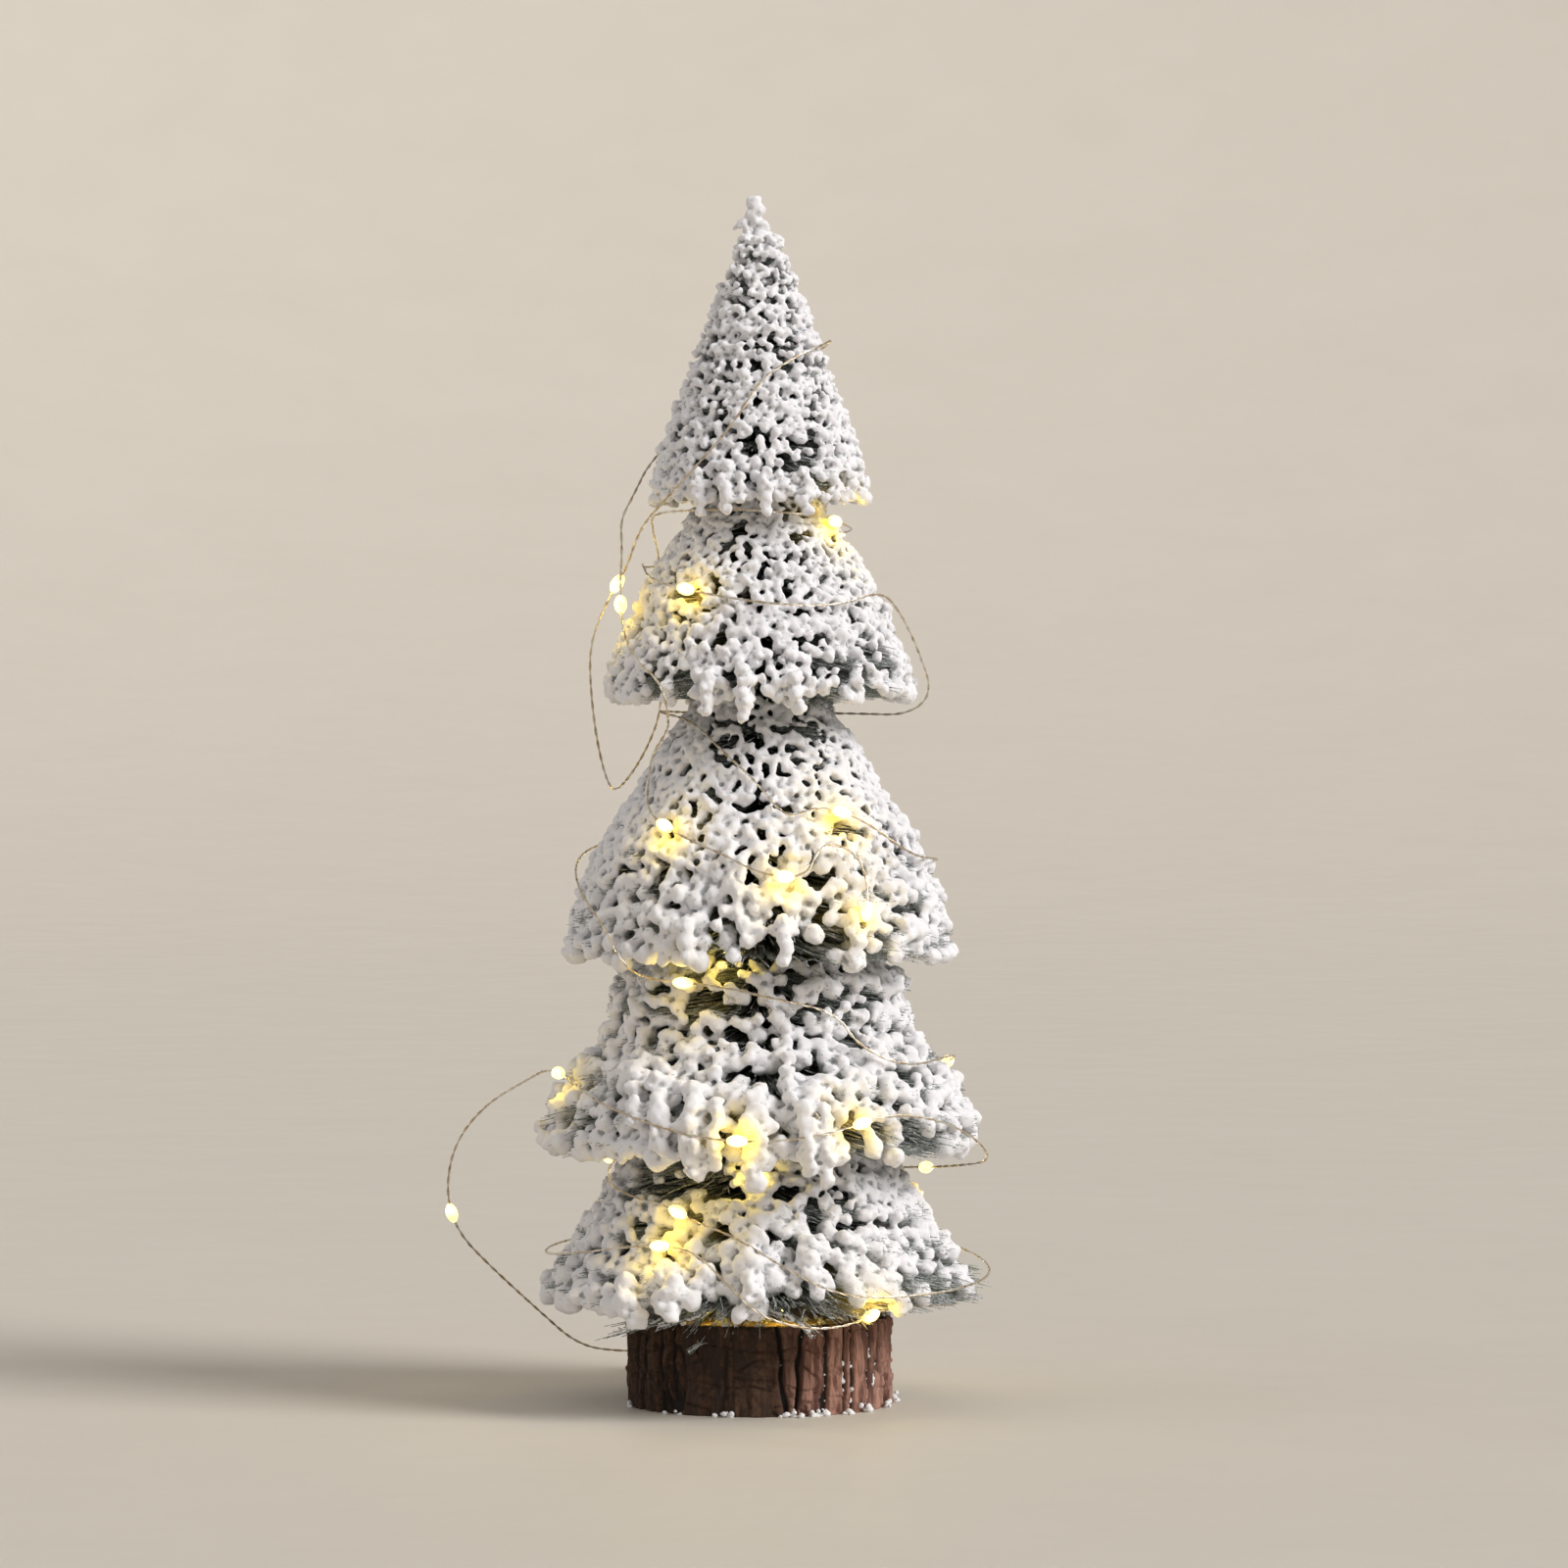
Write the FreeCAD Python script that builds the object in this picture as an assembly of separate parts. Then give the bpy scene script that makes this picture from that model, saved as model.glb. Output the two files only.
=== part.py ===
"""Artificial tabletop tree: a flocked wire brush cut to five tiers, on a slice of log, wrapped
with a battery light string. Millimetres, +Z up, origin at the centre of the slice's underside."""

import FreeCAD, Part
import math
import os

V = FreeCAD.Vector
Z_AXIS = V(0, 0, 1)

# Log slice
SLICE_HEIGHT = 22.0
WOOD_RADIUS = 30.8
BARK_RADIUS = 33.1
FURROW_RADIUS = 31.7
PLATE_SWELL = 0.5
PLATE_COUNT = 27
STEM_HOLE_RADIUS = 1.6
STEM_HOLE_FLOOR = 6.5

# Stem: two wires twisted together
STRAND_RADIUS = 0.7
STRAND_OFFSET = 0.72
TWIST_PITCH = 20.0
STEM_BOTTOM = 7.0
STEM_TOP_GAP = 0.4
STEM_BORE = 1.46
GLUE_RADIUS = 4.5
GLUE_HEIGHT = 3.0

# Tiers, lowest first: (height, radius) down the outside of each, from its shoulder to its rim
TIER_OUTLINES = [
    [(61.2, 36), (49, 43.5), (41.8, 48.5), (34.5, 53), (29.6, 56.5), (25.5, 54.5)],
    [(108.6, 35), (103, 39.2), (92, 41.2), (86.7, 46), (80.7, 51), (73.4, 55.3), (66, 56), (62.4, 54)],
    [(169.4, 20.6), (163, 26), (153.6, 31.4), (141.4, 40), (129, 46), (119, 49.6), (110, 50)],
    [(220.4, 18), (212, 24.3), (202, 30.4), (190, 36), (179, 40.2), (174, 39.6)],
    [(300, 0), (298.7, 2.4), (295.7, 4.3), (289.6, 6.4), (282, 8.6), (275, 11.7), (263, 16.4),
     (250.8, 20.9), (238.6, 25.5), (223, 29.5)],
]
SNOW_DEPTH = 3.5
SNOW_DEPTH_TOP_TIER = 2.5
NECK_RISE = 2.5
NECK_SHARE = 0.55
UNDERSIDE_RISE = 3.0
UNDERSIDE_STEP = 8.5

# Light string
WIRE_DIAMETER = 0.7
ARC_SHARE = 0.45
BEAD_LENGTH = 5.0
BEAD_RADIUS = 1.5
BEAD_END_RADIUS = 0.45
CHIP_SIZE = (1.6, 0.8, 0.6)

# The wire's route from the battery case to the last lamp, (x, y, z)
WIRE_ROUTE = [
    # a loop that stands free at the left, from the case up to tier 2
    (-29, 60, 6.5), (-37, 58.5, 6.5), (-47, 51, 9), (-57, 43, 19), (-68, 36, 30),
    (-76.5, 30, 39.5), (-79.5, 27, 50), (-77, 22, 63), (-68.5, 14, 73.5), (-57, 4, 80.5),
    # round the front of tier 2 near its rim
    (-52.5, -8, 83.5), (-46.5, -22, 82), (-40.5, -36, 77.5), (-26, -51, 72.5), (-12.5, -55.5, 69.3),
    (2, -57, 68.7), (17, -54.5, 70.3), (32.5, -46, 75.5), (49, -32, 71), (58.5, -13, 61),
    # in under the rim and round the back of tier 1's shoulder
    (47, 1, 58.5), (36, 20, 57), (20, 41, 54.5), (-3, 45.5, 53), (-24, 38, 55), (-37, 21, 59),
    (-38.5, 2, 61),
    # a small curl that hangs under tier 2, then down the front of tier 1
    (-34, -13, 62), (-22, -21, 63), (-16, -33, 64.5), (-26, -38.5, 66), (-36, -37, 63.5),
    (-37, -33.5, 57), (-31, -33.5, 53.8), (-24, -37.5, 52.6), (-15.5, -42, 48.5), (-5, -48, 45),
    (7, -52, 37.5), (19, -53.5, 31.8), (31, -48.5, 30.5), (48, -34.5, 31), (58.4, -11, 33),
    (54, 17, 36),
    # round the back of tier 1 and across its front
    (38, 40, 39), (14, 52, 40), (-13, 52.4, 40.5), (-36.5, 40.5, 39.5), (-51.7, 18.8, 38),
    (-54, -6, 37.5), (-45, -28, 39.5), (-31, -40.5, 42.5), (-17, -46, 43), (-8, -54.5, 35),
    (-1, -58.5, 28),
    # hanging under tier 1's rim, over the front of the slice, then up behind
    (8, -56.5, 24.5), (15.5, -50, 23.2), (23, -45, 24), (31, -39, 27.5), (42, -25, 26.5),
    (49, -3, 24.5), (46, 20, 23), (42, 41, 24), (33, 48, 35), (24, 46, 47), (25, 47.5, 57),
    (32, 49, 66),
    # up the back of tier 2 and round its right side to the front
    (36.5, 42.5, 76), (45, 28, 82), (49, 8, 85.5), (47, -13, 87), (36, -32, 85), (24, -36.5, 90.5),
    (18.5, -37.5, 99), (5, -41, 102), (-10, -39.5, 105.5), (-27, -35, 106.5), (-33, -42.5, 110.5),
    (-37.5, -37.5, 119.5), (-44, -23, 127.5), (-46, -5, 134),
    # round the back of tier 3, down its front and in under tier 4
    (-42, 14, 138), (-31, 31, 139.5), (-12, 42, 139), (10, 43, 137), (30, 34, 135),
    (43, 16, 134.5), (44.5, -6, 135), (37, -25, 136.5), (25.5, -29.5, 145.5), (14.5, -34, 149),
    (6.5, -37, 145.5), (0, -32.5, 154), (-9, -27, 162), (-16.5, -18, 169.5), (-25, -8, 171.5),
    (-24, 9, 171.5), (-12, 22, 171), (6, 25, 171), (24, 18, 171), (37, 12, 170.5), (43, 6, 176),
    # up the right side of tier 4 and across its front
    (39.5, -5, 186), (35, -10, 195.5), (30, -15.5, 201.5), (20, -28, 197.5), (6, -34, 197.5),
    (-9, -32.5, 199.5), (-27, -19, 203.5), (-29, -5, 208.5), (-29, 7.5, 207), (-21, 20.5, 209),
    (-7, 27, 211), (9, 24.5, 213.5), (20.5, 15, 216), (24, 0, 217),
    # through the gap under tier 5, then down the back to tier 3
    (13, -20, 219.8), (-3, -26, 221), (-18, -17, 221), (-26.5, -6, 220.5), (-27, 9, 217.5),
    (-25, 23, 209), (-26, 33, 197), (-25.5, 38, 184), (-25, 36, 171), (-30, 28, 159), (-36, 15, 151),
    # a loop that stands free beside tier 4
    (-38, 1, 154), (-40.5, -3, 165), (-42, -3, 178), (-42, -2, 189), (-37.5, -1.5, 199.5),
    (-33, -2, 207),
    # up across the front of tier 5, round behind the cone and down again
    (-29.5, -9, 217), (-23, -21.5, 223.5), (-14, -26, 233), (-5.5, -25.5, 243), (0, -22, 252.5),
    (7, -19, 257.5), (15, -11.5, 261.5), (18.5, 1, 264), (14, 14, 261), (-2, 22.5, 254),
    (-18, 19, 243.5), (-27.5, 7, 233.5), (-31, -2.5, 225.5), (-34.5, -4, 219), (-34, -5, 212),
    (-34.5, -5.5, 203),
    # down the left of tier 4, under its rim and over the front of tier 3
    (-34, -12, 193), (-31, -24.5, 185), (-23.5, -34, 178.5), (-22, -34.5, 170), (-22.5, -23, 167),
    (-26.5, -17.5, 161), (-27.5, -21, 153), (-27, -29.5, 146.5), (-19, -36.5, 141.5),
    (-8, -43, 137), (0.5, -46, 132.5), (11.5, -44.5, 131.5), (15, -41, 140.5), (23.5, -38, 138),
    (26.5, -39.5, 130), (26, -42, 123.5),
]
# A lamp sits halfway along each of these runs of the route, and one at its end
LAMP_RUNS = [5, 10, 14, 16, 20, 22, 25, 34, 42, 45, 50, 56, 61, 67, 74, 80, 83, 88, 96, 106, 110,
             114, 120, 122, 130, 140, 147, 155, 158]

# Battery case, lying flat behind the slice
CASE_CENTRE = V(0, 60, 0)
CASE_LENGTH = 46.0
CASE_WIDTH = 27.0
CASE_HEIGHT = 13.0
CASE_SPLIT = 6.5
CASE_WALL = 1.3
CASE_CORNER = 6.0
CASE_EDGE = 1.0
WELL_X = 6.0
WELL_RADIUS = 10.4
BAY_END_X = -5.4
CHANNEL_START_X = -6.0
CHANNEL_HALF_WIDTH = 11.5
MOUTH_HALF_WIDTH = 10.5
LIP_HEIGHT = 0.9
CHANNEL_TOP = 1.95
COVER_GAP = 0.25
COVER_BOTTOM = 0.3
COVER_FLANGE_BOTTOM = 1.1
COVER_TOP = 1.75
GRIP_COUNT = 5
GRIP_PITCH = 1.6
CELL_RADIUS = 10.0
CELL_THICKNESS = 3.2
CELL_BOTTOM = 2.0
CONTACT_THICKNESS = 0.3
SPRING_WIDTH = 4.0
STRIP_WIDTH = 3.0
SWITCH_X = -12.0
SWITCH_SIZE = V(8.6, 3.8, 3.2)
KNOB_TRAVEL = 2.5
KNOB_STEM = V(2.2, 1.4, 3.2)
KNOB_CAP = V(3.6, 2.8, 1.3)
KNOB_GAP = 0.3
RIDGE = 0.35
GROMMET_LENGTH = 6.0
GROMMET_NECK = 1.6
GROMMET_FLANGE = 2.4
GROMMET_TIP = 0.8
LEAD_DIAMETER = 0.8
RESISTOR_RADIUS = 0.9
RESISTOR_LENGTH = 4.5

nodes = {}


def revolve(outline):
    """A solid from a closed outline of edges in the XZ plane, turned about Z."""
    return Part.Face(Part.Wire(outline)).revolve(V(0, 0, 0), Z_AXIS, 360)


def at(point):
    """A (height, radius) pair as a point in the XZ plane."""
    height, radius = point
    return V(radius, 0, height)


def curve_through(points):
    """A smooth edge through (height, radius) points."""
    curve = Part.BSplineCurve()
    curve.interpolate([at(point) for point in points])
    return curve.toShape()


def straight_edges(points):
    """Straight edges from each (height, radius) point to the next."""
    corners = [at(point) for point in points]
    return [Part.LineSegment(a, b).toShape() for a, b in zip(corners, corners[1:])]


def box(low, high):
    """A box between two opposite corners."""
    return Part.makeBox(high.x - low.x, high.y - low.y, high.z - low.z, low)


# --- Log slice ---------------------------------------------------------------------------------

def wood_slice():
    """The wood, with the blind hole that the stem is glued into."""
    wood = Part.makeCylinder(WOOD_RADIUS, SLICE_HEIGHT)
    depth = SLICE_HEIGHT - STEM_HOLE_FLOOR
    return wood.cut(Part.makeCylinder(STEM_HOLE_RADIUS, depth, V(0, 0, STEM_HOLE_FLOOR)))


def bark_ring():
    """The bark, in upright plates of uneven width with a furrow between each two."""
    shares = [1 + 0.45 * math.sin(2.3 * i) + 0.2 * math.sin(0.9 * i) for i in range(PLATE_COUNT)]
    degrees_per_share = 360 / sum(shares)
    corners = []
    start = 0
    for i, share in enumerate(shares):
        width = share * degrees_per_share
        radius = BARK_RADIUS + PLATE_SWELL * math.sin(1.7 * i)
        for part_of_width, r in ((0, FURROW_RADIUS), (0.14, radius - 0.3), (0.5, radius), (0.86, radius - 0.3)):
            angle = math.radians(start + part_of_width * width)
            corners.append(V(r * math.cos(angle), r * math.sin(angle), 0))
        start += width
    outside = Part.Face(Part.makePolygon(corners + corners[:1])).extrude(V(0, 0, SLICE_HEIGHT))
    return outside.cut(Part.makeCylinder(WOOD_RADIUS, SLICE_HEIGHT))


# --- Tree --------------------------------------------------------------------------------------

def snow_depth(tier):
    """How deep the flocking lies on a tier."""
    return SNOW_DEPTH_TOP_TIER if tier == len(TIER_OUTLINES) else SNOW_DEPTH


def needle_outline(tier):
    """The outside of a tier's needles, one flocking depth inside its snow."""
    depth = snow_depth(tier)
    inside = [(z, r - depth) for z, r in TIER_OUTLINES[tier - 1]]
    return [(z, r) for z, r in inside if r > 2 * STEM_BORE]


def stem_strand(start_angle):
    """One of the two wires that are twisted together to clamp the needles."""
    top = needle_outline(len(TIER_OUTLINES))[0][0] - STEM_TOP_GAP
    helix = Part.makeHelix(TWIST_PITCH, top - STEM_BOTTOM, STRAND_OFFSET)
    along = V(0, 2 * math.pi * STRAND_OFFSET, TWIST_PITCH)
    section = Part.Wire(Part.makeCircle(STRAND_RADIUS, V(STRAND_OFFSET, 0, 0), along))
    strand = Part.Wire(helix).makePipeShell([section], True, True)
    strand.translate(V(0, 0, STEM_BOTTOM))
    strand.rotate(V(0, 0, 0), Z_AXIS, start_angle)
    return strand


def stem_glue():
    """The cone of glue round the stem's foot."""
    base = V(0, 0, SLICE_HEIGHT)
    cone = Part.makeCone(GLUE_RADIUS, 0.5 * GLUE_RADIUS, GLUE_HEIGHT, base)
    return cone.cut(Part.makeCylinder(STEM_BORE, GLUE_HEIGHT, base))


def needles(tier):
    """A tier's needles as one solid of their outer shape, hollow under the rim."""
    side = needle_outline(tier)
    top_z, top_r = side[0]
    rim_z, rim_r = side[-1]
    has_neck = tier < len(TIER_OUTLINES)
    neck = [(top_z + NECK_RISE, NECK_SHARE * top_r)] if has_neck else []
    crown_z = neck[0][0] if has_neck else top_z
    roof_z = rim_z + UNDERSIDE_RISE
    above = [(crown_z, STEM_BORE)] + neck + [side[0]]
    below = [side[-1], (roof_z, rim_r - UNDERSIDE_STEP), (roof_z + 0.5, STEM_BORE), (crown_z, STEM_BORE)]
    return revolve(straight_edges(above) + [curve_through(side)] + straight_edges(below))


def snow(tier):
    """The flocking on a tier: a skin outside the needles, and a solid tip on the top tier."""
    outside = TIER_OUTLINES[tier - 1]
    inside = needle_outline(tier)
    rim = straight_edges([outside[-1], inside[-1]])
    if outside[0][1] == 0:
        top = straight_edges([inside[0], (inside[0][0], 0), outside[0]])
    else:
        top = straight_edges([inside[0], outside[0]])
    return revolve([curve_through(outside)] + rim + [curve_through(inside[::-1])] + top)


# --- Light string ------------------------------------------------------------------------------

def rounded_path(points, name):
    """Straight runs joined by tangent arcs, each as large as its two runs allow."""
    corners = [V(*point) for point in points]
    edges = []
    radii = []
    start = corners[0]
    for before, corner, after in zip(corners, corners[1:], corners[2:]):
        back = (before - corner).normalize()
        ahead = (after - corner).normalize()
        reach = ARC_SHARE * min((before - corner).Length, (after - corner).Length)
        half_turn = 0.5 * (math.pi - back.getAngle(ahead))
        radius = reach / math.tan(half_turn)
        into_middle = (back + ahead).normalize()
        middle = corner + into_middle * (radius / math.cos(half_turn) - radius)
        edges.append(Part.LineSegment(start, corner + back * reach).toShape())
        edges.append(Part.Arc(corner + back * reach, middle, corner + ahead * reach).toShape())
        start = corner + ahead * reach
        radii.append(radius)
    edges.append(Part.LineSegment(start, corners[-1]).toShape())
    print(name, "arc radii:", " ".join("%.1f" % radius for radius in radii))
    return Part.Wire(edges)


def tube(points, diameter, name):
    """A round wire along a route."""
    path = rounded_path(points, name)
    section = Part.Wire(Part.makeCircle(diameter / 2, V(*points[0]), V(*points[1]) - V(*points[0])))
    solid = path.makePipeShell([section], True, False)
    expected = math.pi * diameter ** 2 / 4 * path.Length
    print(name, "length %.0f, volume / (section x length) %.4f" % (path.Length, solid.Volume / expected))
    return solid


def lamp_places():
    """The middle and direction of each lamp."""
    route = [V(*point) for point in WIRE_ROUTE]
    places = [((route[i] + route[i + 1]) * 0.5, route[i + 1] - route[i]) for i in LAMP_RUNS]
    places.append((route[-1], route[-1] - route[-2]))
    return places


def lamps(shape):
    """Copies of a shape that lies along X, one at each lamp."""
    copies = []
    for middle, direction in lamp_places():
        copy = shape.copy()
        copy.Placement = FreeCAD.Placement(middle, FreeCAD.Rotation(V(1, 0, 0), direction))
        copies.append(copy)
    return Part.makeCompound(copies)


def bead():
    """A drop of clear resin, fattest in the middle."""
    half = BEAD_LENGTH / 2
    ends = [V(-half, 0, BEAD_END_RADIUS), V(half, 0, BEAD_END_RADIUS)]
    outline = [Part.Arc(ends[0], V(0, 0, BEAD_RADIUS), ends[1]).toShape()]
    axis_points = [ends[1], V(half, 0, 0), V(-half, 0, 0), ends[0]]
    outline += [Part.LineSegment(a, b).toShape() for a, b in zip(axis_points, axis_points[1:])]
    return Part.Face(Part.Wire(outline)).revolve(V(0, 0, 0), V(1, 0, 0), 360)


def chip():
    """The lamp in a drop, soldered to the side of the wire."""
    length, width, height = CHIP_SIZE
    return Part.makeBox(length, width, height, V(-length / 2, -width / 2, WIRE_DIAMETER / 2))


# --- Battery case ------------------------------------------------------------------------------

def in_case(shape):
    """Moves a shape made about the case's own centre to where the case lies."""
    moved = shape.copy()
    moved.translate(CASE_CENTRE)
    return moved


def rounded_block(inset, bottom, top):
    """A block with the case's rounded plan, inset all round."""
    half_x = CASE_LENGTH / 2 - inset
    half_y = CASE_WIDTH / 2 - inset
    block = box(V(-half_x, -half_y, bottom), V(half_x, half_y, top))
    upright = [e for e in block.Edges if abs(e.tangentAt(e.FirstParameter).z) > 0.99]
    return block.makeFillet(CASE_CORNER - inset, upright)


def edges_at(shape, height):
    """A shape's edges that lie flat at one height."""
    return [e for e in shape.Edges if e.BoundBox.ZMin > height - 0.01 and e.BoundBox.ZMax < height + 0.01]


def grommet_hole():
    """The hole at the case's end for the wire's sleeve."""
    start = V(-CASE_LENGTH / 2 - 1, 0, CASE_SPLIT)
    return Part.makeCylinder(GROMMET_NECK, CASE_WALL + 1.2, start, V(1, 0, 0))


def case_upper():
    """The top shell, with a slot for the switch knob."""
    shell = rounded_block(0, CASE_SPLIT, CASE_HEIGHT)
    shell = shell.makeFillet(CASE_EDGE, edges_at(shell, CASE_HEIGHT))
    shell = shell.cut(rounded_block(CASE_WALL, CASE_SPLIT, CASE_HEIGHT - CASE_WALL))
    half_slot = (KNOB_STEM.x + KNOB_TRAVEL) / 2 + KNOB_GAP
    half_width = KNOB_STEM.y / 2 + KNOB_GAP
    slot = box(V(SWITCH_X - half_slot, -half_width, CASE_HEIGHT - 2 * CASE_WALL),
               V(SWITCH_X + half_slot, half_width, CASE_HEIGHT + 1))
    return in_case(shell.cut(slot).cut(grommet_hole()))


def case_lower():
    """The bottom shell: a round well for the cells, a bay for the parts, a channel for the cover."""
    end_x = CASE_LENGTH / 2
    bay_half_width = CASE_WIDTH / 2 - CASE_WALL
    block = rounded_block(0, 0, CASE_SPLIT)
    well = Part.makeCylinder(WELL_RADIUS, CASE_SPLIT, V(WELL_X, 0, CHANNEL_TOP))
    bay = rounded_block(CASE_WALL, CASE_WALL, CASE_SPLIT)
    bay = bay.common(box(V(-end_x, -bay_half_width, 0), V(BAY_END_X, bay_half_width, CASE_SPLIT)))
    mouth = box(V(CHANNEL_START_X, -MOUTH_HALF_WIDTH, -1), V(end_x + 1, MOUTH_HALF_WIDTH, LIP_HEIGHT))
    channel = box(V(CHANNEL_START_X, -CHANNEL_HALF_WIDTH, LIP_HEIGHT),
                  V(end_x + 1, CHANNEL_HALF_WIDTH, CHANNEL_TOP))
    strip_slot = box(V(BAY_END_X - 1, -STRIP_WIDTH / 2 - 0.3, CHANNEL_TOP + 0.3),
                     V(WELL_X - CELL_RADIUS, STRIP_WIDTH / 2 + 0.3, CASE_SPLIT))
    for hollow in (well, bay, mouth, channel, strip_slot, grommet_hole()):
        block = block.cut(hollow)
    return in_case(block)


def battery_cover():
    """The door under the cells: a plate whose side flanges run in the case's channel."""
    start_x = CHANNEL_START_X + COVER_GAP
    end_x = CASE_LENGTH / 2
    plate_half = MOUTH_HALF_WIDTH - COVER_GAP
    flange_half = CHANNEL_HALF_WIDTH - COVER_GAP
    plate = box(V(start_x, -plate_half, COVER_BOTTOM), V(end_x, plate_half, COVER_TOP))
    flange = box(V(start_x, -flange_half, COVER_FLANGE_BOTTOM), V(end_x, flange_half, COVER_TOP))
    cover = plate.fuse(flange).removeSplitter()
    for i in range(GRIP_COUNT):
        x = end_x - 5 - i * GRIP_PITCH
        cover = cover.cut(box(V(x, -5, COVER_BOTTOM - 1), V(x + 0.7, 5, COVER_BOTTOM + RIDGE)))
    return in_case(cover)


def battery_cell(level):
    """A coin cell, with the narrower lid that makes its negative side."""
    bottom = CELL_BOTTOM + level * CELL_THICKNESS
    can = Part.makeCylinder(CELL_RADIUS, CELL_THICKNESS - 0.3, V(WELL_X, 0, bottom))
    can = can.makeFillet(0.35, edges_at(can, bottom))
    lid = Part.makeCylinder(CELL_RADIUS - 1.2, 0.3, V(WELL_X, 0, bottom + CELL_THICKNESS - 0.3))
    return in_case(can.fuse(lid))


def bent_strip(centre_line, width):
    """A flat metal strip bent along (x, z) points."""
    upper = [V(x, -width / 2, z + CONTACT_THICKNESS) for x, z in centre_line]
    lower = [V(x, -width / 2, z) for x, z in centre_line]
    outline = Part.makePolygon(upper + lower[::-1] + upper[:1])
    return Part.Face(outline).extrude(V(0, width, 0))


def contact_spring():
    """The leaf that presses on the upper cell from the case's ceiling."""
    ceiling = CASE_HEIGHT - CASE_WALL - CONTACT_THICKNESS
    cell_top = CELL_BOTTOM + 2 * CELL_THICKNESS
    line = [(-4.5, ceiling), (-1, ceiling), (WELL_X, cell_top), (WELL_X + 3, cell_top + 0.8)]
    return in_case(bent_strip(line, SPRING_WIDTH))


def contact_strip():
    """The strip that touches the side of the cells and runs back over the parts' bay."""
    touch_x = WELL_X - CELL_RADIUS
    top = CASE_SPLIT + 0.8
    low = V(touch_x - CONTACT_THICKNESS, -STRIP_WIDTH / 2, CHANNEL_TOP + 0.6)
    upright = box(low, V(touch_x, STRIP_WIDTH / 2, top))
    arm = box(V(touch_x - 5, -STRIP_WIDTH / 2, top - CONTACT_THICKNESS), V(touch_x, STRIP_WIDTH / 2, top))
    return in_case(upright.fuse(arm).removeSplitter())


def switch_body():
    """The slide switch's can, under the case's top."""
    top = CASE_HEIGHT - CASE_WALL
    half = SWITCH_SIZE * 0.5
    can = box(V(SWITCH_X - half.x, -half.y, top - SWITCH_SIZE.z), V(SWITCH_X + half.x, half.y, top))
    half_slot = (KNOB_STEM.x + KNOB_TRAVEL) / 2 + KNOB_GAP
    half_width = KNOB_STEM.y / 2 + KNOB_GAP
    slot = box(V(SWITCH_X - half_slot, -half_width, top - 0.6 * SWITCH_SIZE.z),
               V(SWITCH_X + half_slot, half_width, top + 1))
    return in_case(can.cut(slot))


def switch_knob():
    """The knob, at the end of its travel where the lamps are on."""
    x = SWITCH_X + KNOB_TRAVEL / 2
    cap_bottom = CASE_HEIGHT + KNOB_GAP
    stem = box(V(x - KNOB_STEM.x / 2, -KNOB_STEM.y / 2, cap_bottom - KNOB_STEM.z),
               V(x + KNOB_STEM.x / 2, KNOB_STEM.y / 2, cap_bottom))
    cap = box(V(x - KNOB_CAP.x / 2, -KNOB_CAP.y / 2, cap_bottom),
              V(x + KNOB_CAP.x / 2, KNOB_CAP.y / 2, cap_bottom + KNOB_CAP.z))
    for offset in (-0.9, 0, 0.9):
        groove_x = x + offset
        cap = cap.cut(box(V(groove_x - 0.2, -KNOB_CAP.y, cap_bottom + KNOB_CAP.z - RIDGE),
                          V(groove_x + 0.2, KNOB_CAP.y, cap_bottom + KNOB_CAP.z + 1)))
    return in_case(stem.fuse(cap).removeSplitter())


def wire_grommet():
    """The tapered sleeve where the wire leaves the case, held by a flange inside the wall."""
    end_x = CASE_LENGTH / 2
    wall_x = end_x - CASE_WALL
    outline = [(wall_x - 0.8, 0), (wall_x - 0.8, GROMMET_FLANGE), (wall_x, GROMMET_FLANGE),
               (wall_x, GROMMET_NECK), (end_x, GROMMET_NECK), (end_x, 1.2 * GROMMET_NECK),
               (end_x + GROMMET_LENGTH, GROMMET_TIP), (end_x + GROMMET_LENGTH, 0), (wall_x - 0.8, 0)]
    sleeve = revolve(straight_edges(outline))
    sleeve.rotate(V(0, 0, 0), V(0, 1, 0), -90)
    sleeve.translate(V(0, 0, CASE_SPLIT))
    return in_case(sleeve)


def ballast_resistor():
    """The resistor that limits the lamps' current, with its two wire ends."""
    middle = V(-14, -5, 4)
    body = Part.makeCylinder(RESISTOR_RADIUS, RESISTOR_LENGTH, middle - V(RESISTOR_LENGTH / 2, 0, 0), V(1, 0, 0))
    body = body.makeFillet(0.3, body.Edges[0:1] + body.Edges[2:3])
    ends = Part.makeCylinder(0.25, RESISTOR_LENGTH + 3, middle - V(RESISTOR_LENGTH / 2 + 1.5, 0, 0), V(1, 0, 0))
    return in_case(body.fuse(ends))


def lead(points, name):
    """A short insulated lead inside the case."""
    return in_case(tube(points, LEAD_DIAMETER, name))


# --- The assembly ------------------------------------------------------------------------------

nodes["wood_slice"] = wood_slice()
nodes["bark_ring"] = bark_ring()
nodes["stem_wire_a"] = stem_strand(0)
nodes["stem_wire_b"] = stem_strand(180)
nodes["stem_glue"] = stem_glue()
for number in range(1, len(TIER_OUTLINES) + 1):
    nodes["needles_tier_%d" % number] = needles(number)
    nodes["snow_tier_%d" % number] = snow(number)

nodes["light_wire"] = tube(WIRE_ROUTE, WIRE_DIAMETER, "light_wire")
nodes["led_beads"] = lamps(bead())
nodes["led_chips"] = lamps(chip())

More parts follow.
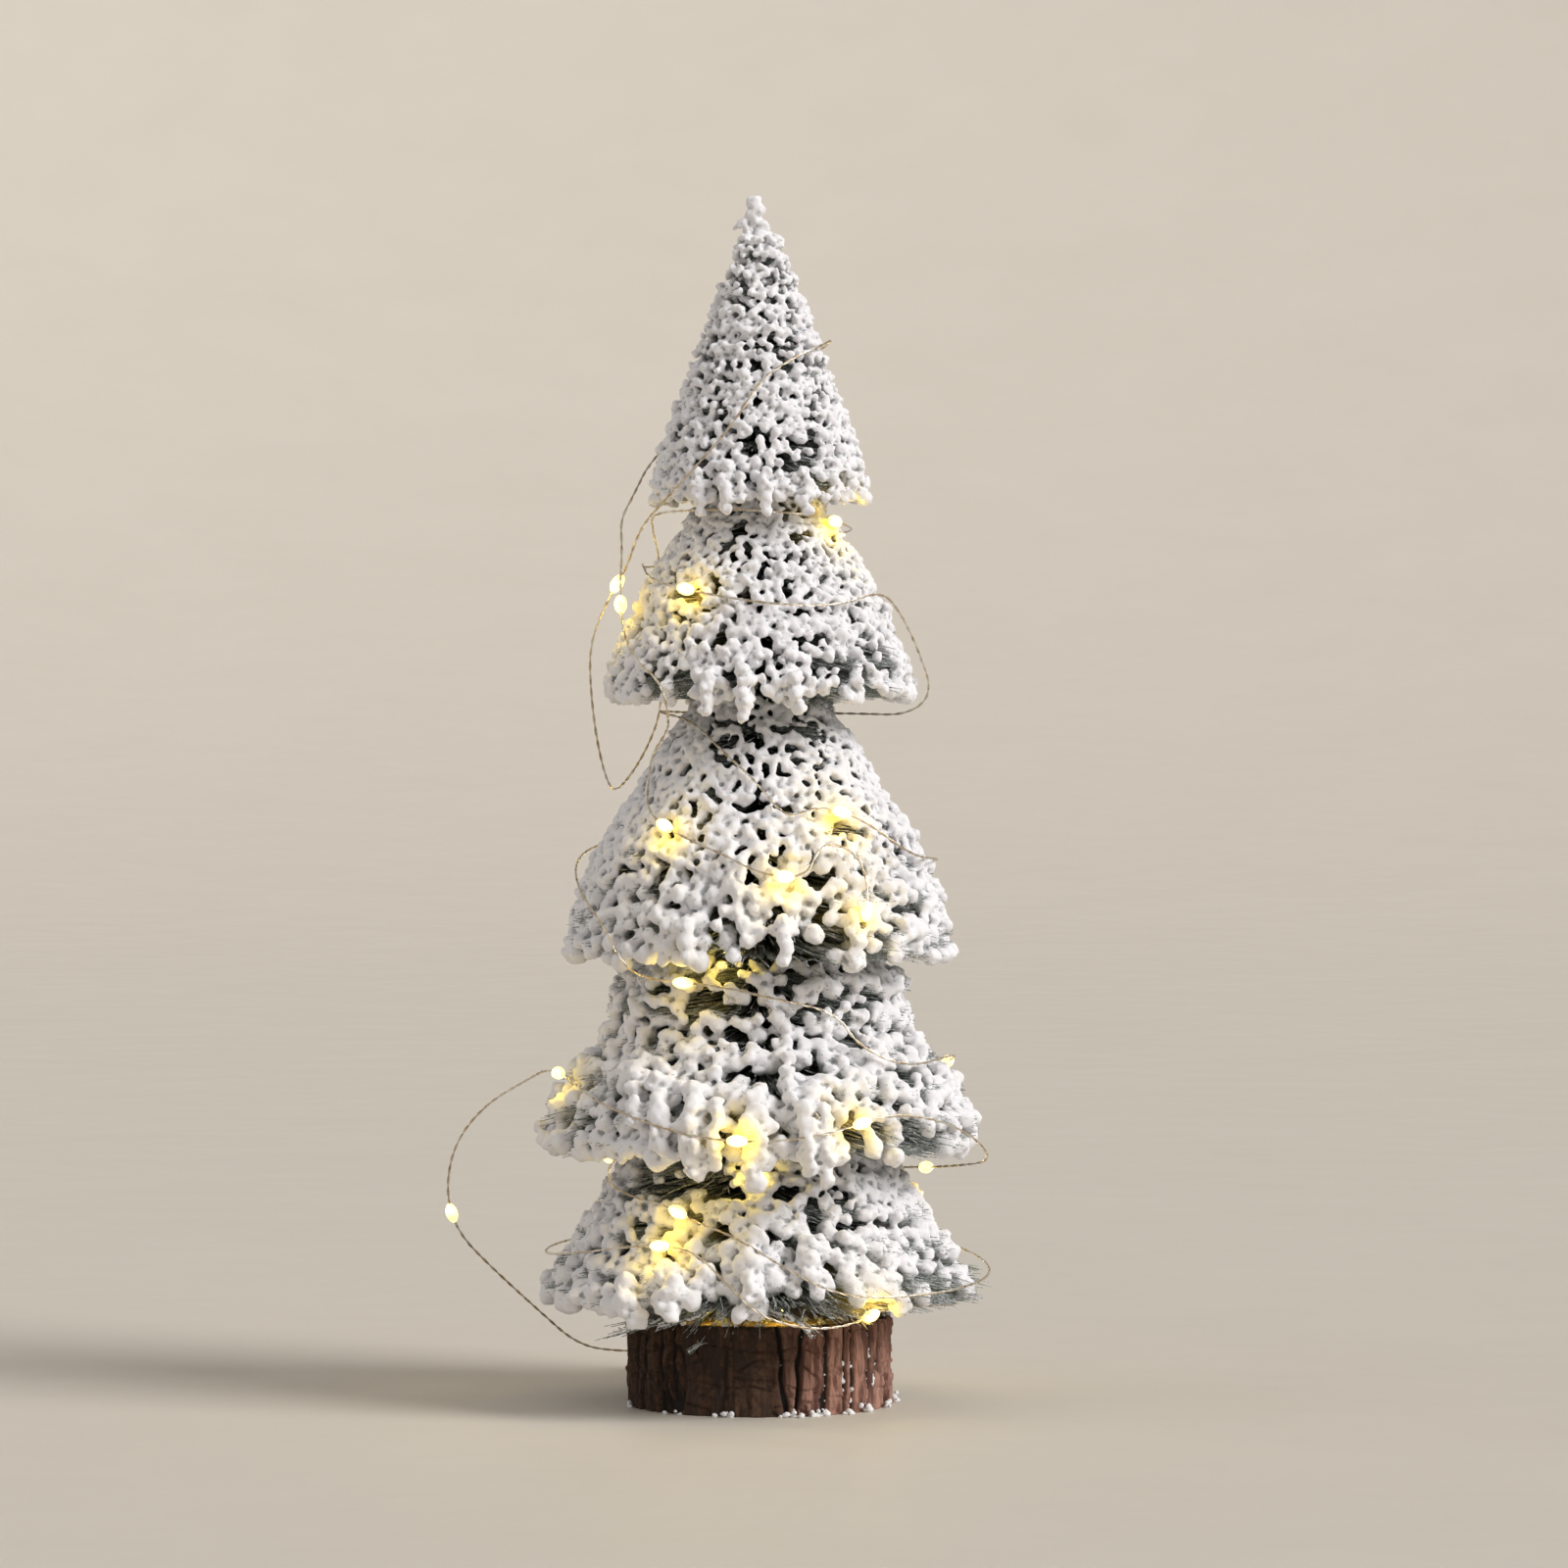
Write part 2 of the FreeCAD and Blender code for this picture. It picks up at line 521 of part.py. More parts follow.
nodes["battery_case_upper"] = case_upper()
nodes["battery_case_lower"] = case_lower()
nodes["battery_cover"] = battery_cover()
nodes["battery_cell_lower"] = battery_cell(0)
nodes["battery_cell_upper"] = battery_cell(1)
nodes["contact_spring"] = contact_spring()
nodes["contact_strip"] = contact_strip()
nodes["switch_body"] = switch_body()
nodes["switch_knob"] = switch_knob()
nodes["wire_grommet"] = wire_grommet()
nodes["ballast_resistor"] = ballast_resistor()
nodes["lead_negative"] = lead([(-5, 3.5, 10.9), (-8, 6, 9.5), (-12.5, 7, 7.5), (-17.5, 4, 6.5), (-20.4, 1, 6.5)],
                              "lead_negative")
nodes["lead_positive"] = lead([(-17.8, -5, 4), (-19.5, -4.6, 4.5), (-20.3, -3, 5.6), (-20.4, -1, 6.5)],
                              "lead_positive")

os.makedirs("parts", exist_ok=True)
for name, shape in nodes.items():
    if not shape.isValid():
        print("invalid:", name)
    print("%-20s %d solids, %.0f mm3" % (name, len(shape.Solids), shape.Volume))
    shape.exportStep("parts/%s.step" % name)
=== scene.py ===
"""Artificial tabletop tree: a snow-flocked wire brush in five tiers on a slice of log, wrapped with
a lit battery light string. Metres, +Z up, origin at the centre of the slice's underside."""

import math
import bmesh
import bpy
import numpy as np
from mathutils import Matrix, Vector
from mathutils.bvhtree import BVHTree
from mathutils.kdtree import KDTree


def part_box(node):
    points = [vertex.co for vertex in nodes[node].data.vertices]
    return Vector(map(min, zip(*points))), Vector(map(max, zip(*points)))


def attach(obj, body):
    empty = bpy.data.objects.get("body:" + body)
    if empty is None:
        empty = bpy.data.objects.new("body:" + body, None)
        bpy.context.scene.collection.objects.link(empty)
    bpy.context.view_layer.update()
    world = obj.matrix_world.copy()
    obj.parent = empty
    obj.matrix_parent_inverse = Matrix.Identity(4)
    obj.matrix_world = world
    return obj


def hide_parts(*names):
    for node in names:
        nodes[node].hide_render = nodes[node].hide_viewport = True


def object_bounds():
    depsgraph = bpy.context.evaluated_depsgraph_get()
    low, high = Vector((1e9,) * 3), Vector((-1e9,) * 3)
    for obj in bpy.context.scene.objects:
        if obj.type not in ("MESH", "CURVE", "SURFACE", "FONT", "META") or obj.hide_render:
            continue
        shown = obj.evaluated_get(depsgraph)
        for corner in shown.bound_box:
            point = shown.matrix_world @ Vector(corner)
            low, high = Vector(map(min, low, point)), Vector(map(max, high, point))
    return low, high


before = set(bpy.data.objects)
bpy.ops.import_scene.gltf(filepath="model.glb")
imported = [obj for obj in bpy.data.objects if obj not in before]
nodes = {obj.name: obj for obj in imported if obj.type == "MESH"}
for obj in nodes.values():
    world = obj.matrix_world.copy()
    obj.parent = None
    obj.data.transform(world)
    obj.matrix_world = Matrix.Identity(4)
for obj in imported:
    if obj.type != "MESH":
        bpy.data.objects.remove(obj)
cad_low, cad_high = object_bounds()
MM = 0.001
UP = np.array((0.0, 0.0, 1.0))

# The wire's route from the battery case to the last lamp, (x, y, z) in millimetres
WIRE_ROUTE = [
    # a loop that stands free at the left, from the case up to tier 2
    (-29, 60, 6.5), (-37, 58.5, 6.5), (-47, 51, 9), (-57, 43, 19), (-68, 36, 30),
    (-76.5, 30, 39.5), (-79.5, 27, 50), (-77, 22, 63), (-68.5, 14, 73.5), (-57, 4, 80.5),
    # round the front of tier 2 near its rim
    (-52.5, -8, 83.5), (-46.5, -22, 82), (-40.5, -36, 77.5), (-26, -51, 72.5), (-12.5, -55.5, 69.3),
    (2, -57, 68.7), (17, -54.5, 70.3), (32.5, -46, 75.5), (49, -32, 71), (58.5, -13, 61),
    # in under the rim and round the back of tier 1's shoulder
    (47, 1, 58.5), (36, 20, 57), (20, 41, 54.5), (-3, 45.5, 53), (-24, 38, 55), (-37, 21, 59),
    (-38.5, 2, 61),
    # a small curl that hangs under tier 2, then down the front of tier 1
    (-34, -13, 62), (-22, -21, 63), (-16, -33, 64.5), (-26, -38.5, 66), (-36, -37, 63.5),
    (-37, -33.5, 57), (-31, -33.5, 53.8), (-24, -37.5, 52.6), (-15.5, -42, 48.5), (-5, -48, 45),
    (7, -52, 37.5), (19, -53.5, 31.8), (31, -48.5, 30.5), (48, -34.5, 31), (58.4, -11, 33),
    (54, 17, 36),
    # round the back of tier 1 and across its front
    (38, 40, 39), (14, 52, 40), (-13, 52.4, 40.5), (-36.5, 40.5, 39.5), (-51.7, 18.8, 38),
    (-54, -6, 37.5), (-45, -28, 39.5), (-31, -40.5, 42.5), (-17, -46, 43), (-8, -54.5, 35),
    (-1, -58.5, 28),
    # hanging under tier 1's rim, over the front of the slice, then up behind
    (8, -56.5, 24.5), (15.5, -50, 23.2), (23, -45, 24), (31, -39, 27.5), (42, -25, 26.5),
    (49, -3, 24.5), (46, 20, 23), (42, 41, 24), (33, 48, 35), (24, 46, 47), (25, 47.5, 57),
    (32, 49, 66),
    # up the back of tier 2 and round its right side to the front
    (36.5, 42.5, 76), (45, 28, 82), (49, 8, 85.5), (47, -13, 87), (36, -32, 85), (24, -36.5, 90.5),
    (18.5, -37.5, 99), (5, -41, 102), (-10, -39.5, 105.5), (-27, -35, 106.5), (-33, -42.5, 110.5),
    (-37.5, -37.5, 119.5), (-44, -23, 127.5), (-46, -5, 134),
    # round the back of tier 3, down its front and in under tier 4
    (-42, 14, 138), (-31, 31, 139.5), (-12, 42, 139), (10, 43, 137), (30, 34, 135),
    (43, 16, 134.5), (44.5, -6, 135), (37, -25, 136.5), (25.5, -29.5, 145.5), (14.5, -34, 149),
    (6.5, -37, 145.5), (0, -32.5, 154), (-9, -27, 162), (-16.5, -18, 169.5), (-25, -8, 171.5),
    (-24, 9, 171.5), (-12, 22, 171), (6, 25, 171), (24, 18, 171), (37, 12, 170.5), (43, 6, 176),
    # up the right side of tier 4 and across its front
    (39.5, -5, 186), (35, -10, 195.5), (30, -15.5, 201.5), (20, -28, 197.5), (6, -34, 197.5),
    (-9, -32.5, 199.5), (-27, -19, 203.5), (-29, -5, 208.5), (-29, 7.5, 207), (-21, 20.5, 209),
    (-7, 27, 211), (9, 24.5, 213.5), (20.5, 15, 216), (24, 0, 217),
    # through the gap under tier 5, then down the back to tier 3
    (13, -20, 219.8), (-3, -26, 221), (-18, -17, 221), (-26.5, -6, 220.5), (-27, 9, 217.5),
    (-25, 23, 209), (-26, 33, 197), (-25.5, 38, 184), (-25, 36, 171), (-30, 28, 159), (-36, 15, 151),
    # a loop that stands free beside tier 4
    (-38, 1, 154), (-40.5, -3, 165), (-42, -3, 178), (-42, -2, 189), (-37.5, -1.5, 199.5),
    (-33, -2, 207),
    # up across the front of tier 5, round behind the cone and down again
    (-29.5, -9, 217), (-23, -21.5, 223.5), (-14, -26, 233), (-5.5, -25.5, 243), (0, -22, 252.5),
    (7, -19, 257.5), (15, -11.5, 261.5), (18.5, 1, 264), (14, 14, 261), (-2, 22.5, 254),
    (-18, 19, 243.5), (-27.5, 7, 233.5), (-31, -2.5, 225.5), (-34.5, -4, 219), (-34, -5, 212),
    (-34.5, -5.5, 203),
    # down the left of tier 4, under its rim and over the front of tier 3
    (-34, -12, 193), (-31, -24.5, 185), (-23.5, -34, 178.5), (-22, -34.5, 170), (-22.5, -23, 167),
    (-26.5, -17.5, 161), (-27.5, -21, 153), (-27, -29.5, 146.5), (-19, -36.5, 141.5),
    (-8, -43, 137), (0.5, -46, 132.5), (11.5, -44.5, 131.5), (15, -41, 140.5), (23.5, -38, 138),
    (26.5, -39.5, 130), (26, -42, 123.5),
]
# A lamp sits halfway along each of these runs of the route, and one at its end
LAMP_RUNS = [5, 10, 14, 16, 20, 22, 25, 34, 42, 45, 50, 56, 61, 67, 74, 80, 83, 88, 96, 106, 110,
             114, 120, 122, 130, 140, 147, 155, 158]

# Light string
STRAND_RADIUS = 0.17 * MM
STRAND_OFFSET = 0.175 * MM
STRAND_PITCH = 6.5 * MM
BEAD_LENGTH = 5.0 * MM
BEAD_RADIUS = 1.5 * MM
BEAD_END_RADIUS = 0.45 * MM
LAMP_POWER = 0.0021
LAMP_LIGHT_GAP = 2.6 * MM

# Needles and snow of each tier, lowest first. pitch is the height of one turn of the brush, fine and
# lump the size of a snow lump at the tier's shoulder and at its rim, rows and low_rows how clearly the
# turns stand apart there, hang the length of the lumps at the rim, needles how many needles there are
# and voxel the size of the snow's smallest detail. Sizes in millimetres.
TIERS = [
    dict(pitch=8.0, fine=3.7, lump=7.6, rows=0.5, low_rows=0.2, hang=10, needles=12500, voxel=0.54),
    dict(pitch=8.2, fine=4.0, lump=6.4, rows=1.0, low_rows=0.4, hang=9, needles=13500, voxel=0.605),
    dict(pitch=7.8, fine=2.3, lump=6.0, rows=0.15, low_rows=0.4, hang=7, needles=13500, voxel=0.585),
    dict(pitch=6.6, fine=2.4, lump=4.7, rows=0.45, low_rows=0.5, hang=6, needles=12500, voxel=0.47),
    dict(pitch=4.8, fine=2.15, lump=3.5, rows=1.5, low_rows=0.5, hang=5, needles=12500, voxel=0.42),
]
# Lumps of snow: places tried on each tier, share missing everywhere, lobes on a large and a small lump
SNOW_SPOTS = 34000
LOOSE_SHARE = 0.03
KNOBS, FEW_KNOBS = 6, 3
LARGE_LUMP = 2.8 * MM
ROW_DEPTH = 2.8 * MM
FINE_PACKING = 0.61
PACKING = 0.67
NEEDLE_RADIUS = 0.21 * MM
STEM_RADIUS = 1.4 * MM
SPRIG_VOXEL = 0.22 * MM

# Places where the flock is thin and needles show: tier, lowest and highest height (mm), first and last
# direction round the tree (degrees, 0 at the right and -90 at the front) and the share of lumps missing
THIN_PLACES = [
    (1, 22, 34, -50, 20, 0.55),
    (1, 22, 31, -105, -50, 0.7),
    (1, 53, 63, -150, -100, 0.75),
    (2, 62, 74, -58, -25, 0.5),
    (2, 62, 74, -172, -140, 0.3),
    (2, 99, 110, -120, -50, 0.3),
    (3, 108, 118, -70, -20, 0.3),
    (3, 108, 117, -115, -62, 0.6),
    (3, 162, 170, -130, -40, 0.25),
    (4, 180, 188, -65, -25, 0.45),
    (4, 172, 179, -60, -25, 0.4),
    (4, 172, 180, -140, -115, 0.35),
    (4, 213, 221, -110, -50, 0.2),
    (5, 226, 240, -75, -45, 0.3),
]

# Lumps that hang like fingers at the front: tier, x, top, bottom and width, millimetres
FINGERS = [
    (2, -24.5, 82, 67.5, 6.6), (2, -16, 80, 61.5, 7.4), (2, -10.5, 78, 63, 4.6), (2, -1.5, 79, 58.5, 7),
    (2, 12, 80, 62, 6.4), (2, 16, 76, 59.5, 5.2), (2, 7, 88, 79, 5.0), (2, -30, 84, 73, 5.6),
    (5, -14.8, 230, 220.5, 4.2), (5, -8.5, 231.5, 221.5, 4.4), (5, 1.8, 230, 220.5, 3.8),
    (5, 11.5, 230, 220.5, 4.2), (5, -4.5, 229, 223.5, 3.4),
    (4, -13, 180, 172, 4.6), (4, -4, 182, 171, 5.0), (4, 9, 180, 172.5, 4.8),
    (3, 6, 121, 112, 5.2), (3, 23, 122, 111, 5.0), (3, -18, 120, 113, 6.0),
    (1, -32, 33, 25.5, 8.0), (1, -21, 36, 28, 8.5), (1, -2, 44, 33, 9.5), (1, 12, 43, 36, 7.0),
]

# The crooked knob at the very top, with its spur: x, height and radius, millimetres
TIP_BALLS = [
    (-1.4, 297.6, 2.2), (-0.4, 295.6, 2.1), (-1.9, 294.6, 1.7), (-1.2, 292.8, 2.2), (0.9, 291.6, 2.0),
    (-2.4, 290.4, 2.0), (0.2, 289.2, 2.6), (-4.0, 292.9, 1.2), (-5.0, 292.1, 1.1), (-6.0, 291.4, 0.9),
    (1.9, 288.9, 1.9), (-3.2, 287.7, 2.0), (2.9, 286.9, 1.9), (-0.6, 286.4, 2.7), (-4.2, 285.4, 1.9),
]

# Frosted sprigs and flakes over the slice's edge: both ends (mm) and thickness
SPRIGS = [
    ((-19, -33, 25.2), (-36.5, -30, 20.4), 1.0), ((-24, -34, 24.0), (-33, -34, 21.6), 0.8),
    ((-14, -37, 25.5), (-25, -36, 22.2), 0.8), ((-8, -40, 28.0), (-9.5, -40, 24.2), 0.9),
    ((-17.2, -29.2, 15.6), (-13.2, -31.3, 18.8), 0.5), ((6.4, -46, 27.0), (13.5, -47, 21.2), 0.9),
    ((2, -43, 28.0), (8, -46, 24.5), 0.8), ((22, -41, 27.0), (27, -40, 23.5), 0.8),
    ((-5, -42, 30.0), (-16, -41, 26.0), 0.7), ((14, -44, 28.5), (20, -43, 25.0), 0.7),
]

# Warm light that leaks down between the needles, (x, y, z) in millimetres
LEAKS = [(-12, -24, 26.5), (6, -27, 26.5), (-2, -38, 60.5), (-8, -34, 112)]

# Camera
CAMERA_PLACE = (0.006, -1.58, 0.179)
CAMERA_TARGET = (0.006, 0.0, 0.1536)
CAMERA_LENS = 146.3
SENSOR_WIDTH = 36.0


# --- Meshes ---

def placed(name, data, place=(0, 0, 0)):
    """A new object in the scene."""
    thing = bpy.data.objects.new(name, data)
    thing.location = place
    bpy.context.scene.collection.objects.link(thing)
    return thing


def smooth_piece(name, mesh):
    """A smooth-shaded object from a mesh."""
    mesh.polygons.foreach_set("use_smooth", np.ones(len(mesh.polygons), dtype=bool))
    return placed(name, mesh)


def mesh_object(name, points, faces):
    """A piece from arrays of points and of faces with the same number of corners."""
    mesh = bpy.data.meshes.new(name)
    points = np.asarray(points, dtype=np.float32)
    faces = np.asarray(faces, dtype=np.int32)
    mesh.vertices.add(len(points))
    mesh.vertices.foreach_set("co", points.ravel())
    mesh.loops.add(faces.size)
    mesh.loops.foreach_set("vertex_index", faces.ravel())
    mesh.polygons.add(len(faces))
    mesh.polygons.foreach_set("loop_start", np.arange(0, faces.size, faces.shape[1], dtype=np.int32))
    mesh.update(calc_edges=True)
    mesh.validate()
    return smooth_piece(name, mesh)


def per_point(mesh, name="co"):
    """Each point's place, or with "normal" the direction that the surface faces there."""
    values = np.empty(len(mesh.vertices) * 3, dtype=np.float32)
    mesh.vertices.foreach_get(name, values)
    return values.reshape(-1, 3).astype(float)


def unit_vectors(vectors):
    """Vectors of length 1 along these."""
    return vectors / np.linalg.norm(vectors, axis=-1, keepdims=True)


def random_axes(rng, count):
    """Directions that point anywhere."""
    return unit_vectors(rng.normal(size=(count, 3)))


def round_stem(angle, reach, height):
    """The point in a direction, at a distance from the stem and at a height."""
    return math.cos(angle) * reach, math.sin(angle) * reach, height


def all_round_stem(angles, reach, height):
    """The same for whole arrays."""
    return np.stack(np.broadcast_arrays(np.cos(angles) * reach, np.sin(angles) * reach, height), axis=-1)


def spokes(u, v, count):
    """Even directions round each axis, from its two sideways directions."""
    angles = np.arange(count) * 2 * math.pi / count
    return np.cos(angles)[None, :, None] * u[:, None, :] + np.sin(angles)[None, :, None] * v[:, None, :]


def tube_faces(around, rings):
    """Triangles of a closed tube. The middles of its two ends are the points after its rings."""
    here = np.arange(around)
    ahead = (here + 1) % around
    starts = (np.arange(rings - 1) * around)[:, None]
    last, end = (rings - 1) * around, rings * around
    return np.concatenate([
        np.stack([starts + here, starts + ahead, starts + ahead + around], axis=-1).reshape(-1, 3),
        np.stack([starts + here, starts + ahead + around, starts + here + around], axis=-1).reshape(-1, 3),
        np.stack([ahead, here, np.full(around, end)], axis=-1),
        np.stack([here + last, ahead + last, np.full(around, end + 1)], axis=-1),
    ])


def set_values(piece, name, values):
    """Stores one number per point, for the piece's material to read."""
    attribute = piece.data.attributes.new(name, "FLOAT", "POINT")
    attribute.data.foreach_set("value", np.asarray(values, dtype=np.float32))


def joined(parts):
    """One array of points and one of faces from several."""
    points, faces, start = [], [], 0
    for part_points, part_faces in parts:
        points.append(part_points)
        faces.append(part_faces + start)
        start += len(part_points)
    return np.concatenate(points), np.concatenate(faces)


def ripple(points, size, seed, octaves=2):
    """A smooth random number from about -1 to 1 at each point; size is the width of its bumps."""
    rng = np.random.default_rng(seed)
    total = np.zeros(len(points))
    for octave in range(octaves):
        waves = rng.normal(size=(9, 3)) * 2.2 * 2 ** octave / size
        phases = rng.uniform(0, 2 * math.pi, 9)
        total += np.sin(points @ waves.T + phases).sum(axis=1) / 3 / 2 ** octave
    return np.clip(total, -1.5, 1.5)


def smooth_step(values, low, high):
    """0 below low, 1 above high and a smooth rise between."""
    share = np.clip((values - low) / (high - low), 0, 1)
    return share * share * (3 - 2 * share)


def ball(subdivisions):
    """Points and triangles of a round ball of radius 1."""
    mesh = bmesh.new()
    bmesh.ops.create_icosphere(mesh, subdivisions=subdivisions, radius=1.0)
    points = np.array([v.co for v in mesh.verts])
    faces = np.array([[v.index for v in f.verts] for f in mesh.faces])
    mesh.free()
    return points, faces


BALL = ball(3)
SMALL_BALL = ball(2)


def lumpy_balls(centres, radii, axes, stretch, seed, shape=BALL):
    """Uneven balls, each stretched along its axis."""
    rng = np.random.default_rng(seed)
    unit, triangles = shape
    count = len(centres)
    waves = rng.normal(size=(count, 3, 3)) * 2.4
    phases = rng.uniform(0, 2 * math.pi, (count, 3))
    swell = np.sin(np.einsum("vk,nik->nvi", unit, waves) + phases[:, None, :]).sum(axis=2)
    points = unit[None] * (radii[:, None] * (1 + 0.06 * swell))[..., None]
    along = np.einsum("nvk,nk->nv", points, axes)
    points = points + (along * (stretch[:, None] - 1))[..., None] * axes[:, None, :] + centres[:, None, :]
    faces = triangles[None] + (np.arange(count) * len(unit))[:, None, None]
    return points.reshape(-1, 3), faces.reshape(-1, 3)


def merged(name, points, faces, voxel):
    """One watertight piece round overlapping closed shapes, with softened edges."""
    rough = mesh_object(name + "_rough", points, faces)
    remesh = rough.modifiers.new("merge", "REMESH")
    remesh.mode = "VOXEL"
    remesh.voxel_size = voxel
    soften = rough.modifiers.new("soften", "SMOOTH")
    soften.factor = 0.5
    soften.iterations = 2
    graph = bpy.context.evaluated_depsgraph_get()
    mesh = bpy.data.meshes.new_from_object(rough.evaluated_get(graph))
    mesh.name = name
    bpy.data.objects.remove(rough)
    return smooth_piece(name, mesh)


def hollows(mesh, blur, step):
    """How far each point lies in a hollow, 0 on a bump and 1 in a crease; step is the mesh's spacing."""
    points, normals = per_point(mesh), per_point(mesh, "normal")
    edges = np.empty(len(mesh.edges) * 2, dtype=np.int32)
    mesh.edges.foreach_get("vertices", edges)
    first, second = edges[0::2], edges[1::2]
    count = np.bincount(edges, minlength=len(points)).clip(1)

    def neighbour_mean(values):
        total = np.bincount(first, weights=values[second], minlength=len(points))
        total += np.bincount(second, weights=values[first], minlength=len(points))
        return total / count

    mean = np.stack([neighbour_mean(points[:, axis]) for axis in range(3)], axis=1)
    depth = ((mean - points) * normals).sum(axis=1) / step
    for _ in range(blur):
        depth = 0.5 * depth + 0.5 * neighbour_mean(depth)
    return np.clip(0.5 + depth * 3.0, 0, 1)


def frames_along(path):
    """The direction, and two sideways directions that don't twist, at each point of a path."""
    tangents = unit_vectors(np.gradient(path, axis=0))
    side = np.cross(tangents[0], UP)
    if np.linalg.norm(side) < 0.1:
        side = np.cross(tangents[0], (1.0, 0.0, 0.0))
    sides = np.empty_like(path)
    for i, tangent in enumerate(tangents):
        side = side - tangent * side.dot(tangent)
        side = side / np.linalg.norm(side)
        sides[i] = side
    return tangents, sides, np.cross(tangents, sides)


def strand(path, radius, offset, pitch, start, sides):
    """A closed thin wire that winds round a path."""
    _, u, v = frames_along(path)
    run = np.concatenate(([0], np.cumsum(np.linalg.norm(np.diff(path, axis=0), axis=1))))
    turn = run / pitch * 2 * math.pi + start
    middle = path + offset * (np.cos(turn)[:, None] * u + np.sin(turn)[:, None] * v)
    points = (middle[:, None, :] + radius * spokes(u, v, sides)).reshape(-1, 3)
    return np.concatenate([points, middle[:1], middle[-1:]]), tube_faces(sides, len(path))


# --- Materials ---

class Surface:
    """A material whose nodes are built one call at a time."""

    def __init__(self, name):
        self.material = bpy.data.materials.new(name)
        self.material.use_nodes = True
        self.tree = self.material.node_tree
        self.shader = self.tree.nodes["Principled BSDF"]
        self.place = self.tree.nodes.new("ShaderNodeTexCoord").outputs["Object"]

    def join(self, value, socket):
        if isinstance(value, bpy.types.NodeSocket):
            self.tree.links.new(value, socket)
        else:
            socket.default_value = value

    def fill(self, node, **inputs):
        """Sets or links a node's inputs by name."""
        for name, value in inputs.items():
            self.join(value, node.inputs[name.replace("_", " ")])
        return node

    def node(self, kind, **inputs):
        return self.fill(self.tree.nodes.new("ShaderNode" + kind), **inputs)

    def stretched(self, scale):
        return self.node("Mapping", Vector=self.place, Scale=scale).outputs["Vector"]

    def noise(self, scale, detail=3.0, rough=0.55, place=None):
        return self.node("TexNoise", Vector=place or self.place, Scale=scale, Detail=detail,
                         Roughness=rough).outputs["Fac"]

    def value(self, name):
        node = self.node("Attribute")
        node.attribute_name = name
        return node.outputs["Fac"]

    def spread(self, value, low, high, to_low=0.0, to_high=1.0):
        node = self.node("MapRange")
        node.interpolation_type = "SMOOTHSTEP"
        return self.fill(node, Value=value, From_Min=low, From_Max=high, To_Min=to_low,
                         To_Max=to_high).outputs["Result"]

    def maths(self, operation, first, second):
        node = self.node("Math")
        node.operation = operation
        self.join(first, node.inputs[0])
        self.join(second, node.inputs[1])
        return node.outputs[0]

    def mix(self, share, first, second):
        node = self.node("Mix")
        node.data_type = "RGBA"
        first, second = (tone if isinstance(tone, bpy.types.NodeSocket) else (*tone, 1)
                         for tone in (first, second))
        return self.fill(node, Factor=share, A=first, B=second).outputs["Result"]

    def bump(self, height, strength, distance):
        node = self.node("Bump", Strength=strength, Distance=distance, Height=height)
        self.join(node.outputs["Normal"], self.shader.inputs["Normal"])

    def colour(self, value):
        self.join(value, self.shader.inputs["Base Color"])

    def set(self, **sockets):
        self.fill(self.shader, **sockets)
        return self.material


def snow_surface():
    """Flock: matte grains, lighter on the bumps, with painted shade that turns the creases and the snow deep
    inside the tier dark grey-green, and painted warm lamp light with a faint glow beside the lamps.
    """
    s = Surface("flocking")
    crease = s.spread(s.value("hollow"), 0.50, 0.88)
    depth_shade = s.spread(s.value("depth_shade"), 0.0, 1.0)
    tint = s.mix(s.noise(55, 4, 0.6), (0.76, 0.755, 0.79), (0.88, 0.875, 0.905))
    speck = s.spread(s.noise(1500, 2, 0.7), 0.60, 0.74, 0.0, 0.25)
    tint = s.mix(speck, tint, (0.52, 0.52, 0.56))
    # Painted shade: creases found from the hollow value are painted dark grey.
    tint = s.mix(s.maths("MULTIPLY", crease, 0.72), tint, (0.20, 0.215, 0.225))
    # Painted shade: snow deep inside the tier's outline is painted darker and greener.
    tint = s.mix(s.maths("MULTIPLY", depth_shade, 0.8), tint, (0.17, 0.20, 0.17))
    # Painted light: snow near each lamp is painted warm yellow, as if lit by it.
    tint = s.mix(s.maths("MULTIPLY", s.value("glow"), 0.85), tint, (1.0, 0.78, 0.16))
    s.colour(tint)
    s.bump(s.noise(1900, 4, 0.75), 0.55, 0.35 * MM)
    # Painted light: snow near each lamp gets a faint warm emission.
    light = s.mix(s.value("glow"), (0, 0, 0), (1.0, 0.70, 0.08))
    return s.set(Roughness=s.spread(s.noise(700), 0.3, 0.7, 0.86, 0.98), Emission_Color=light,
                 Emission_Strength=0.6, Sheen_Weight=0.1)


def needle_surface():
    """Cut plastic film: dark green, with frost towards the tips, a satin shine and painted warm lamp light
    with a faint glow beside the lamps.
    """
    s = Surface("needle_film")
    green = s.mix(s.value("shade"), (0.018, 0.042, 0.022), (0.085, 0.135, 0.062))
    green = s.mix(s.noise(420, 3), green, (0.05, 0.075, 0.03))
    frost = s.maths("MULTIPLY", s.value("frost"), s.spread(s.noise(1300, 3, 0.7), 0.36, 0.60))
    tint = s.mix(frost, green, (0.66, 0.67, 0.72))
    # Painted light: needles near each lamp are painted warm yellow and, below, given a faint warm emission.
    tint = s.mix(s.maths("MULTIPLY", s.value("glow"), 0.5), tint, (0.9, 0.62, 0.10))
    s.colour(tint)
    s.bump(s.noise(2200, 3, 0.7), 0.4, 0.15 * MM)
    light = s.mix(s.value("glow"), (0, 0, 0), (1.0, 0.66, 0.06))
    return s.set(Roughness=s.spread(frost, 0.0, 0.5, 0.42, 0.9), Emission_Color=light, Emission_Strength=0.3)


